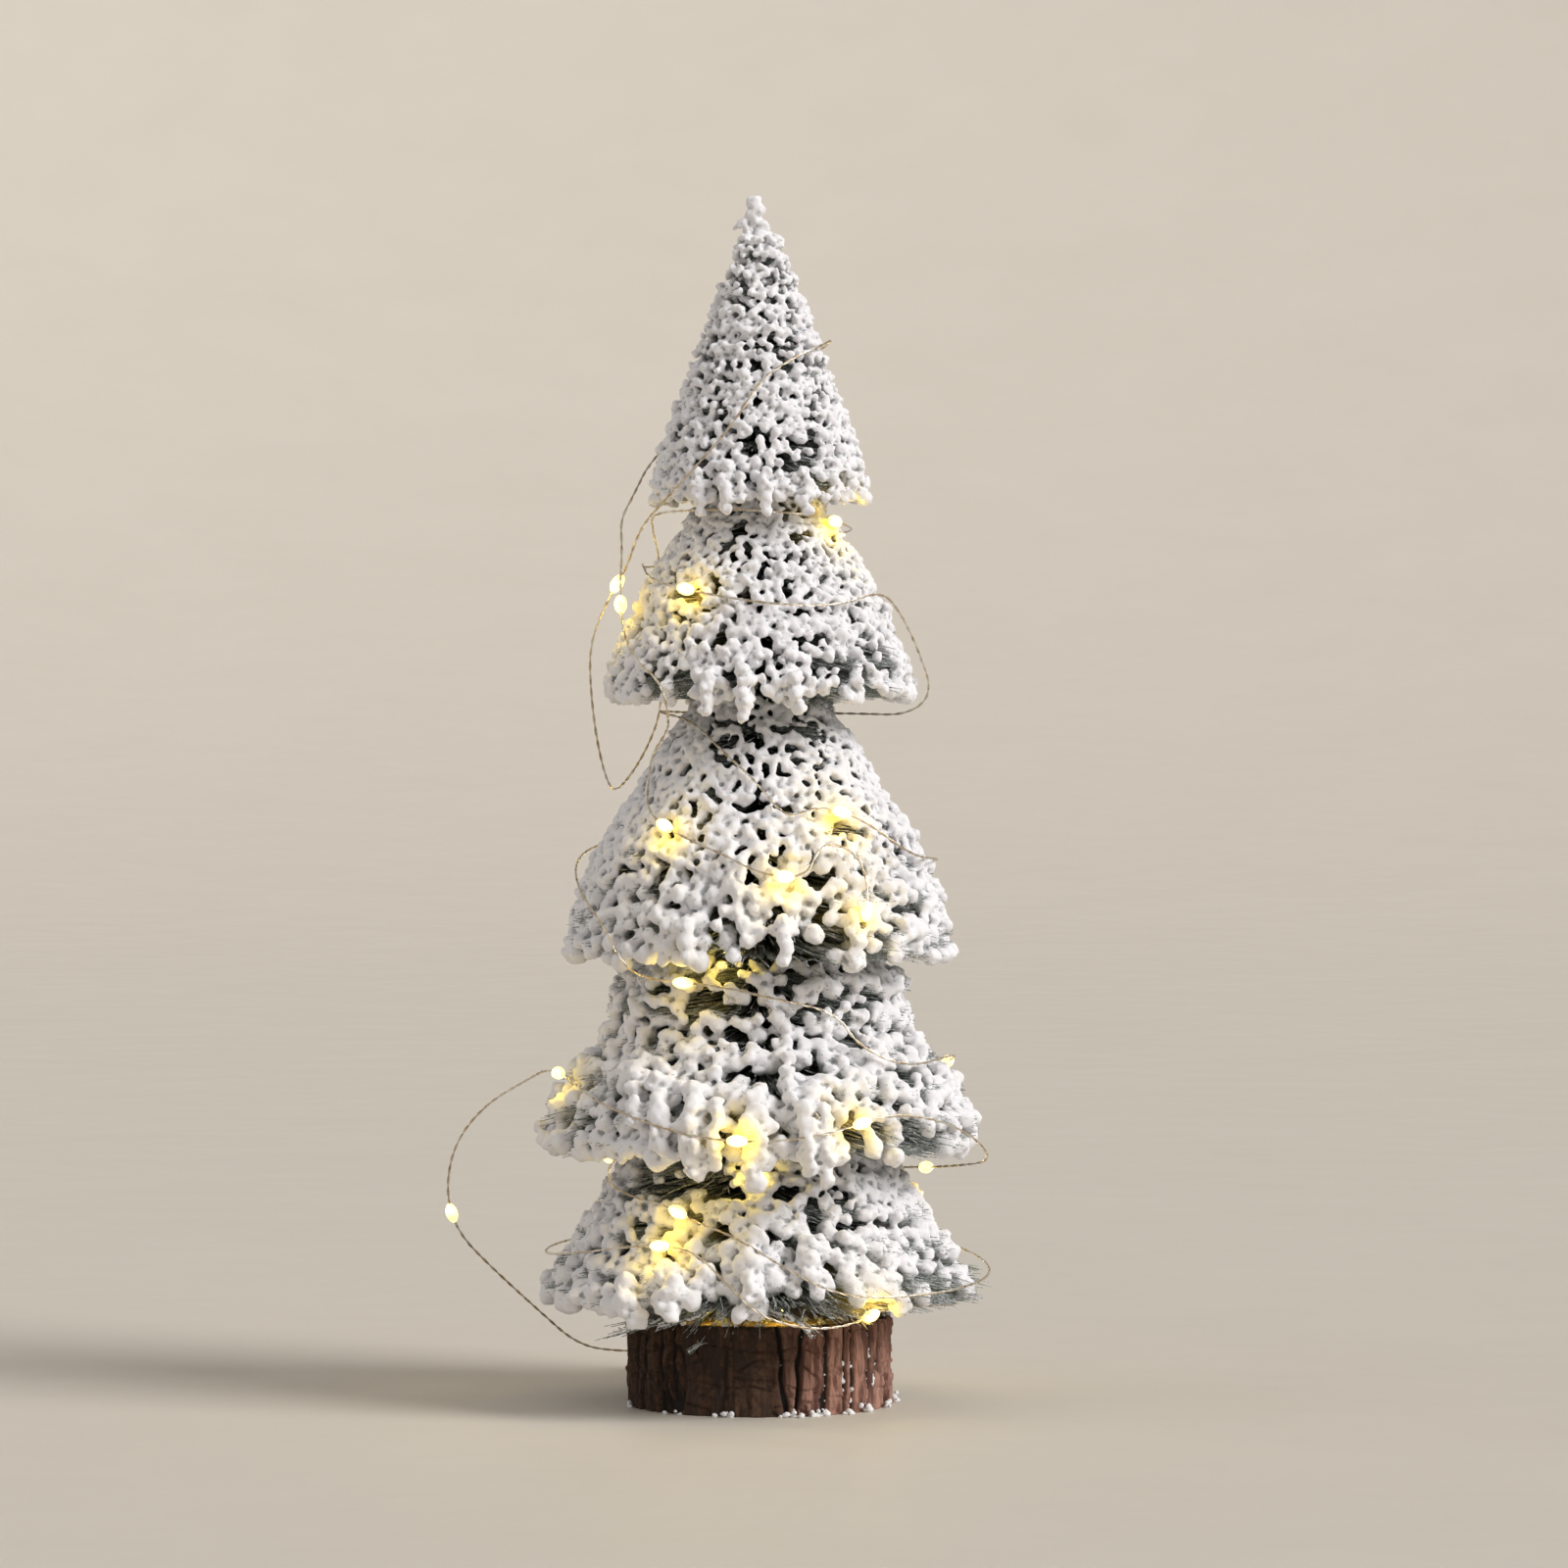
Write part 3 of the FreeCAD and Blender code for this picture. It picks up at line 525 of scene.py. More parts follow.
def bark_surface():
    """Conifer bark: red-brown plates, near-black furrows that are partly the bark's own tone and partly
    painted shade, grey flakes, specks of snow, and painted light that makes the right side lighter and
    redder.
    """
    s = Surface("bark")
    fibre = s.noise(330, 5, 0.65, s.stretched((1, 1, 0.16)))
    patch = s.noise(70, 4, 0.6, s.stretched((1, 1, 0.45)))
    plate = s.mix(s.spread(patch, 0.32, 0.68), (0.022, 0.010, 0.005), (0.078, 0.036, 0.018))
    plate = s.mix(s.spread(fibre, 0.42, 0.64, 0.0, 0.75), plate, (0.14, 0.072, 0.038))
    plate = s.mix(s.spread(s.noise(620, 4, 0.7), 0.36, 0.56, 0.75, 0.0), plate, (0.022, 0.011, 0.006))
    # Painted light: the right side of the bark gets a lighter, redder copy of the plates, as if lit from
    # there.
    sunny = s.mix(s.spread(fibre, 0.35, 0.65), (0.15, 0.060, 0.042), (0.60, 0.33, 0.26))
    plate = s.mix(s.value("lit_side"), plate, sunny)
    # Near-black furrows: partly the bark's own dark tone, partly painted shade.
    tint = s.mix(s.spread(s.value("plate"), 0.15, 0.75), (0.012, 0.007, 0.005), plate)
    speck = s.spread(s.noise(1250, 2, 0.6), 0.70, 0.76)
    tint = s.mix(s.maths("MULTIPLY", speck, s.value("dusting")), tint, (0.75, 0.76, 0.80))
    s.colour(tint)
    s.bump(s.noise(900, 6, 0.8, s.stretched((1, 1, 0.25))), 1.0, 0.9 * MM)
    return s.set(Roughness=s.spread(fibre, 0.3, 0.7, 0.72, 0.95))


def wood_surface():
    """Sawn softwood: rings round the pith, darker late wood, saw marks and fine checks."""
    s = Surface("wood")
    rings = s.node("TexWave", Vector=s.place, Scale=130, Distortion=2.4, Detail=3.0, Detail_Scale=1.2)
    rings.wave_type = "RINGS"
    rings.rings_direction = "Z"
    late = s.spread(rings.outputs["Fac"], 0.45, 0.95)
    tint = s.mix(late, (0.62, 0.42, 0.23), (0.36, 0.19, 0.085))
    tint = s.mix(s.spread(s.noise(45, 4), 0.35, 0.7, 0.0, 0.5), tint, (0.70, 0.52, 0.31))
    saw = s.noise(260, 3, 0.6, s.stretched((1.0, 0.08, 1.0)))
    tint = s.mix(s.spread(saw, 0.4, 0.7, 0.0, 0.35), tint, (0.30, 0.17, 0.09))
    s.colour(tint)
    s.bump(s.maths("ADD", saw, s.maths("MULTIPLY", late, 0.4)), 0.5, 0.3 * MM)
    return s.set(Roughness=s.spread(saw, 0.3, 0.7, 0.62, 0.85))


def moulded(name, tone, other, grain, rough, other_rough, depth, metallic=0.0, pull=(1, 1, 1), **more):
    """A small part's finish: two close tones, uneven gloss and a fine grain, all along pull."""
    s = Surface(name)
    place = s.stretched(pull)
    broad = s.noise(grain * 0.12, 4, 0.6, place)
    fine = s.noise(grain, 4, 0.65, place)
    tint = s.mix(s.spread(broad, 0.35, 0.65), tone, other)
    tint = s.mix(s.spread(fine, 0.58, 0.75, 0.0, 0.35), tint, tuple(0.7 * c for c in tone))
    s.colour(tint)
    s.bump(fine, 0.45, depth * MM)
    return s.set(Roughness=s.spread(broad, 0.3, 0.7, rough, other_rough), Metallic=metallic, **more)


# --- Light string ---

def wire_path():
    """Points along the wire's smooth line, in metres."""
    curve = bpy.data.curves.new("wire_line", "CURVE")
    curve.dimensions = "3D"
    curve.resolution_u = 24
    spline = curve.splines.new("NURBS")
    spline.points.add(len(WIRE_ROUTE) - 1)
    for point, place in zip(spline.points, WIRE_ROUTE):
        point.co = (place[0] * MM, place[1] * MM, place[2] * MM, 1)
    spline.order_u = 3
    spline.use_endpoint_u = True
    line = bpy.data.objects.new("wire_line", curve)
    mesh = bpy.data.meshes.new_from_object(line)
    path = per_point(mesh)
    bpy.data.objects.remove(line)
    bpy.data.meshes.remove(mesh)
    return path


def lamp_places():
    """The middle and the direction of each lamp."""
    route = np.array(WIRE_ROUTE) * MM
    places = [((route[i] + route[i + 1]) / 2, route[i + 1] - route[i]) for i in LAMP_RUNS]
    places.append((route[-1], route[-1] - route[-2]))
    return [(middle, direction / np.linalg.norm(direction)) for middle, direction in places]


def bead(middle, direction, seed):
    """A drop of resin round the wire: fat in the middle, a little lopsided, with drawn-out ends."""
    rng = np.random.default_rng(seed)
    around, rings = 16, 13
    side = np.cross(direction, UP if abs(direction[2]) < 0.9 else (1.0, 0.0, 0.0))
    side /= np.linalg.norm(side)
    other = np.cross(direction, side)
    share = np.linspace(-1, 1, rings)
    radius = BEAD_END_RADIUS + (BEAD_RADIUS - BEAD_END_RADIUS) * (1 - share ** 2) ** 0.8
    angles = np.arange(around) * 2 * math.pi / around
    swell = 1 + 0.05 * np.sin(angles + rng.uniform(0, 6)) + 0.03 * np.sin(2 * angles + rng.uniform(0, 6))
    wheel = np.cos(angles)[:, None] * side + np.sin(angles)[:, None] * other
    run = middle + share[:, None] * BEAD_LENGTH / 2 * direction
    points = run[:, None, :] + (radius[:, None] * swell[None])[..., None] * wheel[None]
    return np.concatenate([points.reshape(-1, 3), run[:1], run[-1:]]), tube_faces(around, rings)


def light_string(path, lamps):
    """Two thin wires twisted together, resin drops on them and a small light beside each drop."""
    strands = [strand(path, STRAND_RADIUS, STRAND_OFFSET, STRAND_PITCH, start, 6)
               for start in (0, math.pi)]
    wire = mesh_object("light_wire_strands", *joined(strands))
    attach(wire, "tree")
    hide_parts("light_wire")
    s = Surface("lamp_wire")
    coat = s.mix(s.spread(s.noise(160, 3), 0.35, 0.65), (0.58, 0.47, 0.33), (0.80, 0.75, 0.66))
    coat = s.mix(s.spread(s.noise(900, 2), 0.55, 0.72, 0.0, 0.6), coat, (0.26, 0.16, 0.08))
    s.colour(coat)
    s.bump(s.noise(2500, 2), 0.2, 0.05 * MM)
    rough = s.spread(s.noise(500), 0.3, 0.7, 0.24, 0.42)
    wire.data.materials.append(s.set(Metallic=0.85, Roughness=rough))

    drops = [bead(middle, direction, number) for number, (middle, direction) in enumerate(lamps)]
    beads = mesh_object("led_resin_drops", *joined(drops))
    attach(beads, "tree")
    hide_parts("led_beads")
    s = Surface("lamp_resin")
    s.colour(s.mix(s.spread(s.noise(600, 3), 0.3, 0.7), (1.0, 0.86, 0.52), (1.0, 0.93, 0.72)))
    s.bump(s.noise(500, 3), 0.25, 0.2 * MM)
    glow = s.mix(s.spread(s.noise(350, 2), 0.35, 0.65), (1.0, 0.72, 0.14), (1.0, 0.88, 0.36))
    beads.data.materials.append(s.set(Roughness=s.spread(s.noise(400), 0.3, 0.7, 0.10, 0.22), IOR=1.5,
                                      Emission_Color=glow, Emission_Strength=2.0))
    for middle, direction in lamps:
        outward = middle * (1, 1, 0)
        warm_light(middle + outward / np.linalg.norm(outward) * LAMP_LIGHT_GAP, LAMP_POWER)
    for place in LEAKS:
        warm_light(np.array(place) * MM, LAMP_POWER)
    return wire, beads


def warm_light(place, power):
    """A small warm light."""
    light = bpy.data.lights.new("lamp_light", "POINT")
    light.energy = power
    light.color = (1.0, 0.72, 0.12)
    light.shadow_soft_size = 1.2 * MM
    placed("lamp_light", light, place)


# --- Needles and snow ---

class Tier:
    """One tier of the brush: its outline, taken from its CAD solid, and its own sizes."""

    def __init__(self, number):
        self.number = number
        sizes = TIERS[number - 1]
        self.pitch, self.fine, self.lump, self.hang, self.voxel = (
            sizes[name] * MM for name in ("pitch", "fine", "lump", "hang", "voxel"))
        self.rows, self.low_rows, self.needles = sizes["rows"], sizes["low_rows"], sizes["needles"]
        node = nodes[f"snow_tier_{number}"]
        surface = BVHTree.FromPolygons([v.co for v in node.data.vertices],
                                       [p.vertices for p in node.data.polygons])
        low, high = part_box(node.name)
        self.low, self.high = low[2], high[2]
        self.heights = np.linspace(self.low + 0.1 * MM, self.high - 0.1 * MM, 160)
        hits = [surface.ray_cast(Vector((0.2, 0.0003, z)), Vector((-1, 0, 0)))[0]
                for z in self.heights]
        self.radii = np.array([hit.x if hit else 0.0 for hit in hits])
        above = f"snow_tier_{number + 1}"
        self.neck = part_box(above)[0][2] - self.high + 2.5 * MM if above in nodes else -12 * MM

    def radius(self, height):
        return np.interp(height, self.heights, self.radii)

    def thin(self, angle, height, rng):
        """True where this place goes without its lump of snow."""
        chance = LOOSE_SHARE
        degrees = (math.degrees(angle) + 180) % 360 - 180
        for number, low, high, first, last, share in THIN_PLACES:
            turn = (degrees - first) % 360
            if number == self.number and low * MM <= height <= high * MM and turn <= (last - first) % 360:
                chance = max(chance, share)
        return rng.random() < chance


def lump_balls(place, direction, size, length, rng):
    """The balls of one lump of snow: fat ones along the needles, each covered in smaller lobes."""
    balls = []
    steps = max(1, int(round(length / size * 1.6)))
    knobs = KNOBS if size > LARGE_LUMP else FEW_KNOBS
    wander = rng.normal(0, 0.08 * size, (steps, 3))
    girths = size * rng.uniform(0.32, 0.41, steps) * np.linspace(0.90, 1.08, steps)
    ways = unit_vectors(rng.normal(size=(steps, knobs, 3)) + 0.5 * direction)
    for step in range(steps):
        share = (step + 0.5) / steps - 0.5
        middle = place + direction * share * length + wander[step]
        balls.append((middle, girths[step]))
        for way in ways[step]:
            balls.append((middle + way * girths[step] * rng.uniform(0.55, 0.82),
                          girths[step] * rng.uniform(0.45, 0.66)))
    return balls


def finger_balls(tier, x, top, bottom, width, rng):
    """The balls of one long lump that hangs at the front, knobbly all over."""
    balls = []
    steps = max(3, int(abs(top - bottom) / width * 2.4))
    for step in range(steps):
        share = step / (steps - 1)
        z = (top + (bottom - top) * share) * MM
        across = (x + rng.normal(0, 0.09) * width) * MM
        reach = tier.radius(max(z, tier.low + 1.5 * MM)) - 0.2 * width * MM
        y = -math.sqrt(max(reach ** 2 - across ** 2, 1e-8))
        girth = width * MM * (0.30 + 0.10 * math.sin(math.pi * min(0.85, 0.2 + share * 0.65)))
        place = np.array((across, y, z))
        balls.append((place, girth * rng.uniform(0.75, 1.0)))
        for _ in range(8):
            way = rng.normal(0, 1, 3) * (1.0, 0.8, 1.0)
            way = way / np.linalg.norm(way) * girth * rng.uniform(0.55, 0.85)
            balls.append((place + way, girth * rng.uniform(0.42, 0.64)))
    return balls


def tip_balls(rng):
    """The balls of the knob at the top."""
    balls = []
    for x, z, radius in TIP_BALLS:
        place = np.array((x, rng.normal(0, 0.4), z)) * MM
        balls.append((place, radius * 0.86 * MM))
        for _ in range(6):
            way = rng.normal(size=3)
            way = way / np.linalg.norm(way) * radius * 0.72 * MM
            balls.append((place + way, radius * MM * rng.uniform(0.30, 0.44)))
    return balls


def packed(spots, sizes):
    """Picks spots in turn, each a good part of a lump away from all picked before it."""
    places = np.full(spots.shape, 1e3)
    widths = np.zeros(len(spots))
    picked = []
    share = FINE_PACKING + (PACKING - FINE_PACKING) * smooth_step(sizes, 2.4 * MM, 4.2 * MM)
    for i, spot in enumerate(spots):
        apart = np.linalg.norm(places[:len(picked)] - spot, axis=1)
        if (apart < 0.5 * (share[i] * sizes[i] + widths[:len(picked)])).any():
            continue
        places[len(picked)] = spot
        widths[len(picked)] = share[i] * sizes[i]
        picked.append(i)
    return picked


def snow_places(tier, rng):
    """The balls of snow on a tier. Lumps sit side by side on its outline, fine at the shoulder and
    coarse at the rim; between the turns of the brush they are fewer and lie deeper."""
    balls = []
    count = SNOW_SPOTS
    tip = tier.number == len(TIERS)
    highest = tier.high - 11 * MM if tip else tier.high + 0.8 * tier.neck
    z = rng.uniform(tier.low + 0.22 * tier.lump, highest, count)
    angle = rng.uniform(-math.pi, math.pi, count)
    reach = tier.radius(z) - np.maximum(z - tier.high, 0) * 0.5
    low_share = np.clip((tier.high - z) / (tier.high - tier.low), 0, 1)
    size = (tier.fine + (tier.lump - tier.fine) * low_share ** 1.1) * rng.uniform(0.76, 1.26, count)
    sway = 0.07 * np.sin(2 * angle + tier.number) + 0.05 * np.sin(5 * angle + 0.3 * tier.number)
    phase = ((tier.high - z) / tier.pitch - angle / (2 * math.pi) + sway) % 1
    around = all_round_stem(angle, 1, z / (14 * MM))
    strength = tier.rows + (tier.low_rows - tier.rows) * smooth_step(low_share, 0.2, 0.8)
    strength = np.clip(strength * (0.75 + 0.45 * ripple(around, 1.0, 90 + tier.number)), 0, 1)
    gap = np.clip(0.75 * size / tier.pitch + 0.06, 0, 0.6)
    between = (1 - smooth_step(np.minimum(phase, 1 - phase) / gap, 0.30, 0.55)) * strength
    keep = np.flatnonzero((rng.random(count) < reach / reach.max()) & (rng.random(count) > 0.85 * between))
    spots = all_round_stem(angle, reach, z)
    for i in keep[packed(spots[keep], size[keep])]:
        if tier.thin(angle[i], z[i], rng):
            continue
        at_rim = z[i] < tier.low + 0.62 * tier.lump
        frontal = abs(math.sin(angle[i]))
        slope = math.radians(8 + 26 * low_share[i] ** 2 + rng.normal(0, 10)
                             + (18 * frontal - 6 if at_rim else 0))
        out = np.array(round_stem(angle[i], 1, 0.0))
        direction = math.cos(slope) * out - math.sin(slope) * UP
        width = size[i] * min(1.0, 0.55 + reach[i] / (12 * MM))
        length = width * rng.uniform(0.7, 1.35)
        if at_rim:
            length = tier.hang * rng.uniform(0.6, 1.15)
        inset = 0.36 * width + 0.5 * length * math.cos(slope) + abs(rng.normal(0, 0.13)) * width
        inset += between[i] * ROW_DEPTH
        height = z[i] + (0.25 * length * math.sin(slope) if at_rim else 0)
        middle = out * max(reach[i] - inset, 0.3 * MM) + UP * height
        balls += lump_balls(middle, direction, width, length, rng)
    for number, *finger in FINGERS:
        if number == tier.number:
            balls += finger_balls(tier, *finger, rng)
    if tip:
        balls += tip_balls(rng)
    return balls


def clear_of_string(centres, radii, wire_tree, lamps):
    """Moves balls of snow inwards until the wire and its lamps lie on them, not inside them."""
    middles = np.array([middle for middle, _ in lamps])
    for i, centre in enumerate(centres):
        place, _, distance = wire_tree.find(Vector(centre))
        overlap = radii[i] + 0.25 * MM - distance
        if overlap > 0:
            inward = np.array((-centre[0], -centre[1], 0.0))
            inward /= np.linalg.norm(inward) + 1e-9
            away = (centre - np.array(place)) / max(distance, 1e-6) + inward
            centres[i] = centre + away / (np.linalg.norm(away) + 1e-9) * overlap
        gaps = np.linalg.norm(middles - centres[i], axis=1)
        nearest = gaps.argmin()
        overlap = radii[i] + 1.1 * MM - gaps[nearest]
        if overlap > 0:
            away = centres[i] - middles[nearest]
            centres[i] = centres[i] + away / (np.linalg.norm(away) + 1e-9) * overlap
    return centres


def glow_at(points, lamps):
    """How brightly the lamps light each point, from 0 to 1; it paints warm lamp light into the colour and
    glow of snow and needles.
    """
    glow = np.zeros(len(points))
    for middle, _ in lamps:
        distance = np.linalg.norm(points - middle, axis=1)
        glow += np.exp(-(distance / (4.2 * MM)) ** 2) + 0.16 * np.exp(-(distance / (8.5 * MM)) ** 2)
    return np.clip(glow, 0, 1)


def flocked(piece, hollow, depth_shade, surface, lamps):
    """Gives a piece of snow its values for painted crease shade, painted depth shade and painted lamp light,
    and its finish. It rides on the tree.
    """
    points = per_point(piece.data)
    set_values(piece, "hollow", np.broadcast_to(hollow, len(points)))
    set_values(piece, "depth_shade", np.broadcast_to(depth_shade, len(points)))
    set_values(piece, "glow", glow_at(points, lamps))
    piece.data.materials.append(surface)
    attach(piece, "tree")


def snow_piece(name, tier, balls, seed, surface, wire_tree, lamps):
    """One piece of snow from its balls."""
    centres = np.array([ball_place for ball_place, _ in balls])
    radii = np.array([radius for _, radius in balls])
    centres = clear_of_string(centres, radii, wire_tree, lamps)
    rng = np.random.default_rng(seed)
    axes = random_axes(rng, len(balls))
    stretch = rng.uniform(0.85, 1.3, len(balls))
    fat = radii > 1.2 * MM
    points, faces = joined([
        lumpy_balls(centres[fat], radii[fat], axes[fat], stretch[fat], seed + 1),
        lumpy_balls(centres[~fat], radii[~fat], axes[~fat], stretch[~fat], seed + 2, SMALL_BALL),
    ])
    points[:, 2] = np.minimum(points[:, 2], cad_high[2] - 0.1 * MM)
    piece = merged(name, points, faces, tier.voxel)
    points = per_point(piece.data)
    grain = 0.09 * ripple(points, 1.4 * MM, seed + 3) + 0.06 * ripple(points, 0.8 * MM, seed + 4)
    points += per_point(piece.data, "normal") * grain[:, None] * MM
    piece.data.vertices.foreach_set("co", points.astype(np.float32).ravel())
    piece.data.update()
    reach = np.linalg.norm(points[:, :2], axis=1)
    # Painted shade: how far each point lies inside the tier's outline, for darkening the snow there.
    depth_shade = smooth_step(tier.radius(points[:, 2]) - reach, 3.5 * MM, 9 * MM)
    # Painted shade: the hollows of the snow are painted darker through their hollow values.
    flocked(piece, hollows(piece.data, 2, tier.voxel), depth_shade, surface, lamps)
    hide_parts(f"snow_tier_{tier.number}")


def snow(tier, surface, wire_tree, lamps):
    """The snow of a tier, as a front and a back piece."""
    rng = np.random.default_rng(100 + tier.number)
    balls = snow_places(tier, rng)
    front = [one for one in balls if one[0][1] < 0]
    back = [one for one in balls if one[0][1] >= 0]
    for name, part, seed in (("front", front, 200), ("back", back, 300)):
        snow_piece(f"snow_{tier.number}_{name}", tier, part, seed + tier.number, surface, wire_tree,
                   lamps)


def needle_mesh(roots, tips, bend, width):
    """Thin three-sided needles, each bent a little at its middle."""
    count = len(roots)
    way = unit_vectors(tips - roots)
    u = unit_vectors(np.cross(way, UP + 1e-3))
    wheel = spokes(u, np.cross(way, u), 3)
    middles = (roots + tips) / 2 + bend
    stations = [(roots, 1.0), (middles, 0.95), (tips, 0.4)]
    points = np.stack([place[:, None, :] + wheel * (width * share)[:, None, None]
                       for place, share in stations], axis=1)
    sides = ((0, 1), (1, 2), (2, 0))
    triangles = [(2, 1, 0), (6, 7, 8)]
    for start in (0, 3):
        triangles += [(start + a, start + b, start + b + 3) for a, b in sides]
        triangles += [(start + a, start + b + 3, start + a + 3) for a, b in sides]
    triangles = np.array(triangles)
    faces = triangles[None] + (np.arange(count) * 9)[:, None, None]
    return points.reshape(-1, 3), faces.reshape(-1, 3)


def needle_piece(name, roots, tips, bend, width, frost, seed, surface, lamps):
    """One piece of needles with its shade and frost."""
    rng = np.random.default_rng(seed)
    points, faces = needle_mesh(roots, tips, bend, width)
    piece = mesh_object(name, points, faces)
    along = np.tile(np.repeat((0.0, 0.55, 1.0), 3), len(roots))
    set_values(piece, "shade", np.repeat(rng.uniform(0, 1, len(roots)), 9))
    set_values(piece, "frost", np.clip(np.repeat(frost, 9) * (0.15 + 1.15 * along), 0, 1))
    set_values(piece, "glow", glow_at(points, lamps))
    piece.data.materials.append(surface)
    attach(piece, "tree")
    return piece


def needles(tier, surface, lamps):
    """The needles of a tier: discs wound round the stem, lower ones drooping, some bare at the rim."""
    rng = np.random.default_rng(400 + tier.number)
    count = tier.needles
    turns = (tier.high - tier.low) / tier.pitch
    turn = rng.uniform(-0.55 - tier.neck / tier.pitch, turns - 0.5, count)
    angle = turn * 2 * math.pi
    deeper = rng.random(count) < 0.3
    stray = np.where(deeper, rng.uniform(-0.5, 0.5, count), rng.normal(0, 0.13, count))
    root_z = tier.high - tier.pitch * (turn + 0.55 + stray)
    spin = angle + rng.normal(0, 0.05, count)
    low_share = np.clip((tier.high - root_z) / (tier.high - tier.low), 0, 1)
    droop = (0.4 + 3.6 * low_share ** 2) * MM * tier.radius(root_z) / (50 * MM)
    droop = droop + rng.normal(0, 0.75, count) * MM
    top = tier.high + tier.neck
    root_z = np.clip(root_z + droop * 0.6, tier.low + 1.8 * MM, top)
    tuft = np.clip(0.5 + 0.5 * np.sin(9 * angle + 2 * tier.number) + 0.3 * np.sin(23 * angle), 0, 1)
    floor = tier.low + (0.8 + 2.6 * tuft + rng.uniform(0, 1.6, count)) * MM
    tip_z = np.clip(root_z - droop, floor, top)
    short = rng.choice((0.0, 1.0), count, p=(0.8, 0.2)) * rng.uniform(0, 0.35, count)
    inset = np.where(deeper, rng.uniform(3.0, 6.0, count), rng.uniform(1.6, 4.0, count))
    inset += np.where(tip_z < tier.low + 4 * MM, rng.uniform(0, 2.5, count) + 1.5 * tuft, 0)
    reach = (tier.radius(tip_z) - inset * MM) * (1 - short)
    reach = np.maximum(reach, 1.2 * STEM_RADIUS)
    roots = all_round_stem(angle, STEM_RADIUS, root_z)
    roots[:, :2] *= 0.6
    tips = all_round_stem(spin, reach, tip_z)
    bend = rng.normal(0, 0.3, (count, 3)) * MM
    bend[:, 2] += 0.25 * droop
    width = NEEDLE_RADIUS * rng.uniform(0.8, 1.15, count)
    frost = rng.uniform(0.25, 1.0, count)
    piece = needle_piece(f"needles_{tier.number}", roots, tips, bend, width, frost, 500 + tier.number,
                         surface, lamps)
    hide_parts(f"needles_tier_{tier.number}")


def stray_needles(tiers, surface, lamps):
    """Bare needles that stick out at the rims and a frosted tuft over the slice's front edge."""
    rng = np.random.default_rng(601)
    roots, tips = [], []
    for number, low, high, first, last, share in THIN_PLACES:
        tier = tiers[number - 1]
        for _ in range(int(share * (last - first) % 360 * (high - low) * 0.16)):
            angle = math.radians(rng.uniform(first, last))
            z = rng.uniform(low, high) * MM
            z = min(max(z, tier.low + 0.4 * MM), tier.high - 0.5 * MM)
            reach = tier.radius(z) + rng.uniform(-2.5, 1.2) * MM
            start = reach - rng.uniform(12, 18) * MM
            swing = angle + rng.normal(0, 0.06)
            roots.append(round_stem(swing, start, z + rng.uniform(0.5, 3.0) * MM))
            tips.append(round_stem(angle, reach, z))
    for _ in range(55):
        angle = math.radians(rng.normal(-122, 17))
        reach = rng.uniform(31, 39) * MM
        roots.append((math.cos(angle) * 20 * MM, math.sin(angle) * 20 * MM, rng.uniform(26, 29) * MM))
        tips.append((math.cos(angle + rng.normal(0, 0.1)) * reach, math.sin(angle) * reach,
                     rng.uniform(19.5, 25.5) * MM))
    roots, tips = np.array(roots), np.array(tips)
    bend = rng.normal(0, 0.35, roots.shape) * MM
    bend[:, 2] += 0.6 * MM
    width = NEEDLE_RADIUS * rng.uniform(0.85, 1.25, len(roots))
    frost = rng.uniform(0.4, 1.6, len(roots))
    needle_piece("needles_stray", roots, tips, bend, width, frost, 602, surface, lamps)


def sprigs(surface, needle_surface, lamps):
    """Needles clotted with flock that hang over the front edge of the slice."""
    rng = np.random.default_rng(651)
    centres, radii, roots, tips = [], [], [], []
    for start, end, width in SPRIGS:
        start, end = np.array(start) * MM, np.array(end) * MM
        for share in np.arange(0, 1, 0.35 * width * MM / np.linalg.norm(end - start)):
            taper = 1 - 0.45 * share
            centres.append(start + (end - start) * share + rng.normal(0, 0.28 * width, 3) * MM)
            radii.append(width * MM * taper * rng.uniform(0.30, 0.66))
        for _ in range(7):
            roots.append(start + rng.normal(0, 0.5, 3) * MM)
            tips.append(end + (end - start) * rng.uniform(-0.25, 0.12) + rng.normal(0, 0.9, 3) * MM)
    centres, radii = np.array(centres), np.array(radii)
    axes = random_axes(rng, len(centres))
    points, faces = lumpy_balls(centres, radii, axes, rng.uniform(0.8, 1.6, len(radii)), 652, SMALL_BALL)
    piece = merged("snow_sprigs", points, faces, SPRIG_VOXEL)
    # Painted shade: the hollows of the sprigs' flock are painted darker through their hollow values.
    flocked(piece, hollows(piece.data, 1, SPRIG_VOXEL), 0, surface, lamps)
    roots, tips = np.array(roots), np.array(tips)
    width = NEEDLE_RADIUS * rng.uniform(0.9, 1.2, len(roots))
    bend = rng.normal(0, 0.3, roots.shape) * MM
    frost = rng.uniform(1.0, 2.4, len(roots))
    needle_piece("needles_sprigs", roots, tips, bend, width, frost, 653, needle_surface, lamps)


# --- Slice of log ---

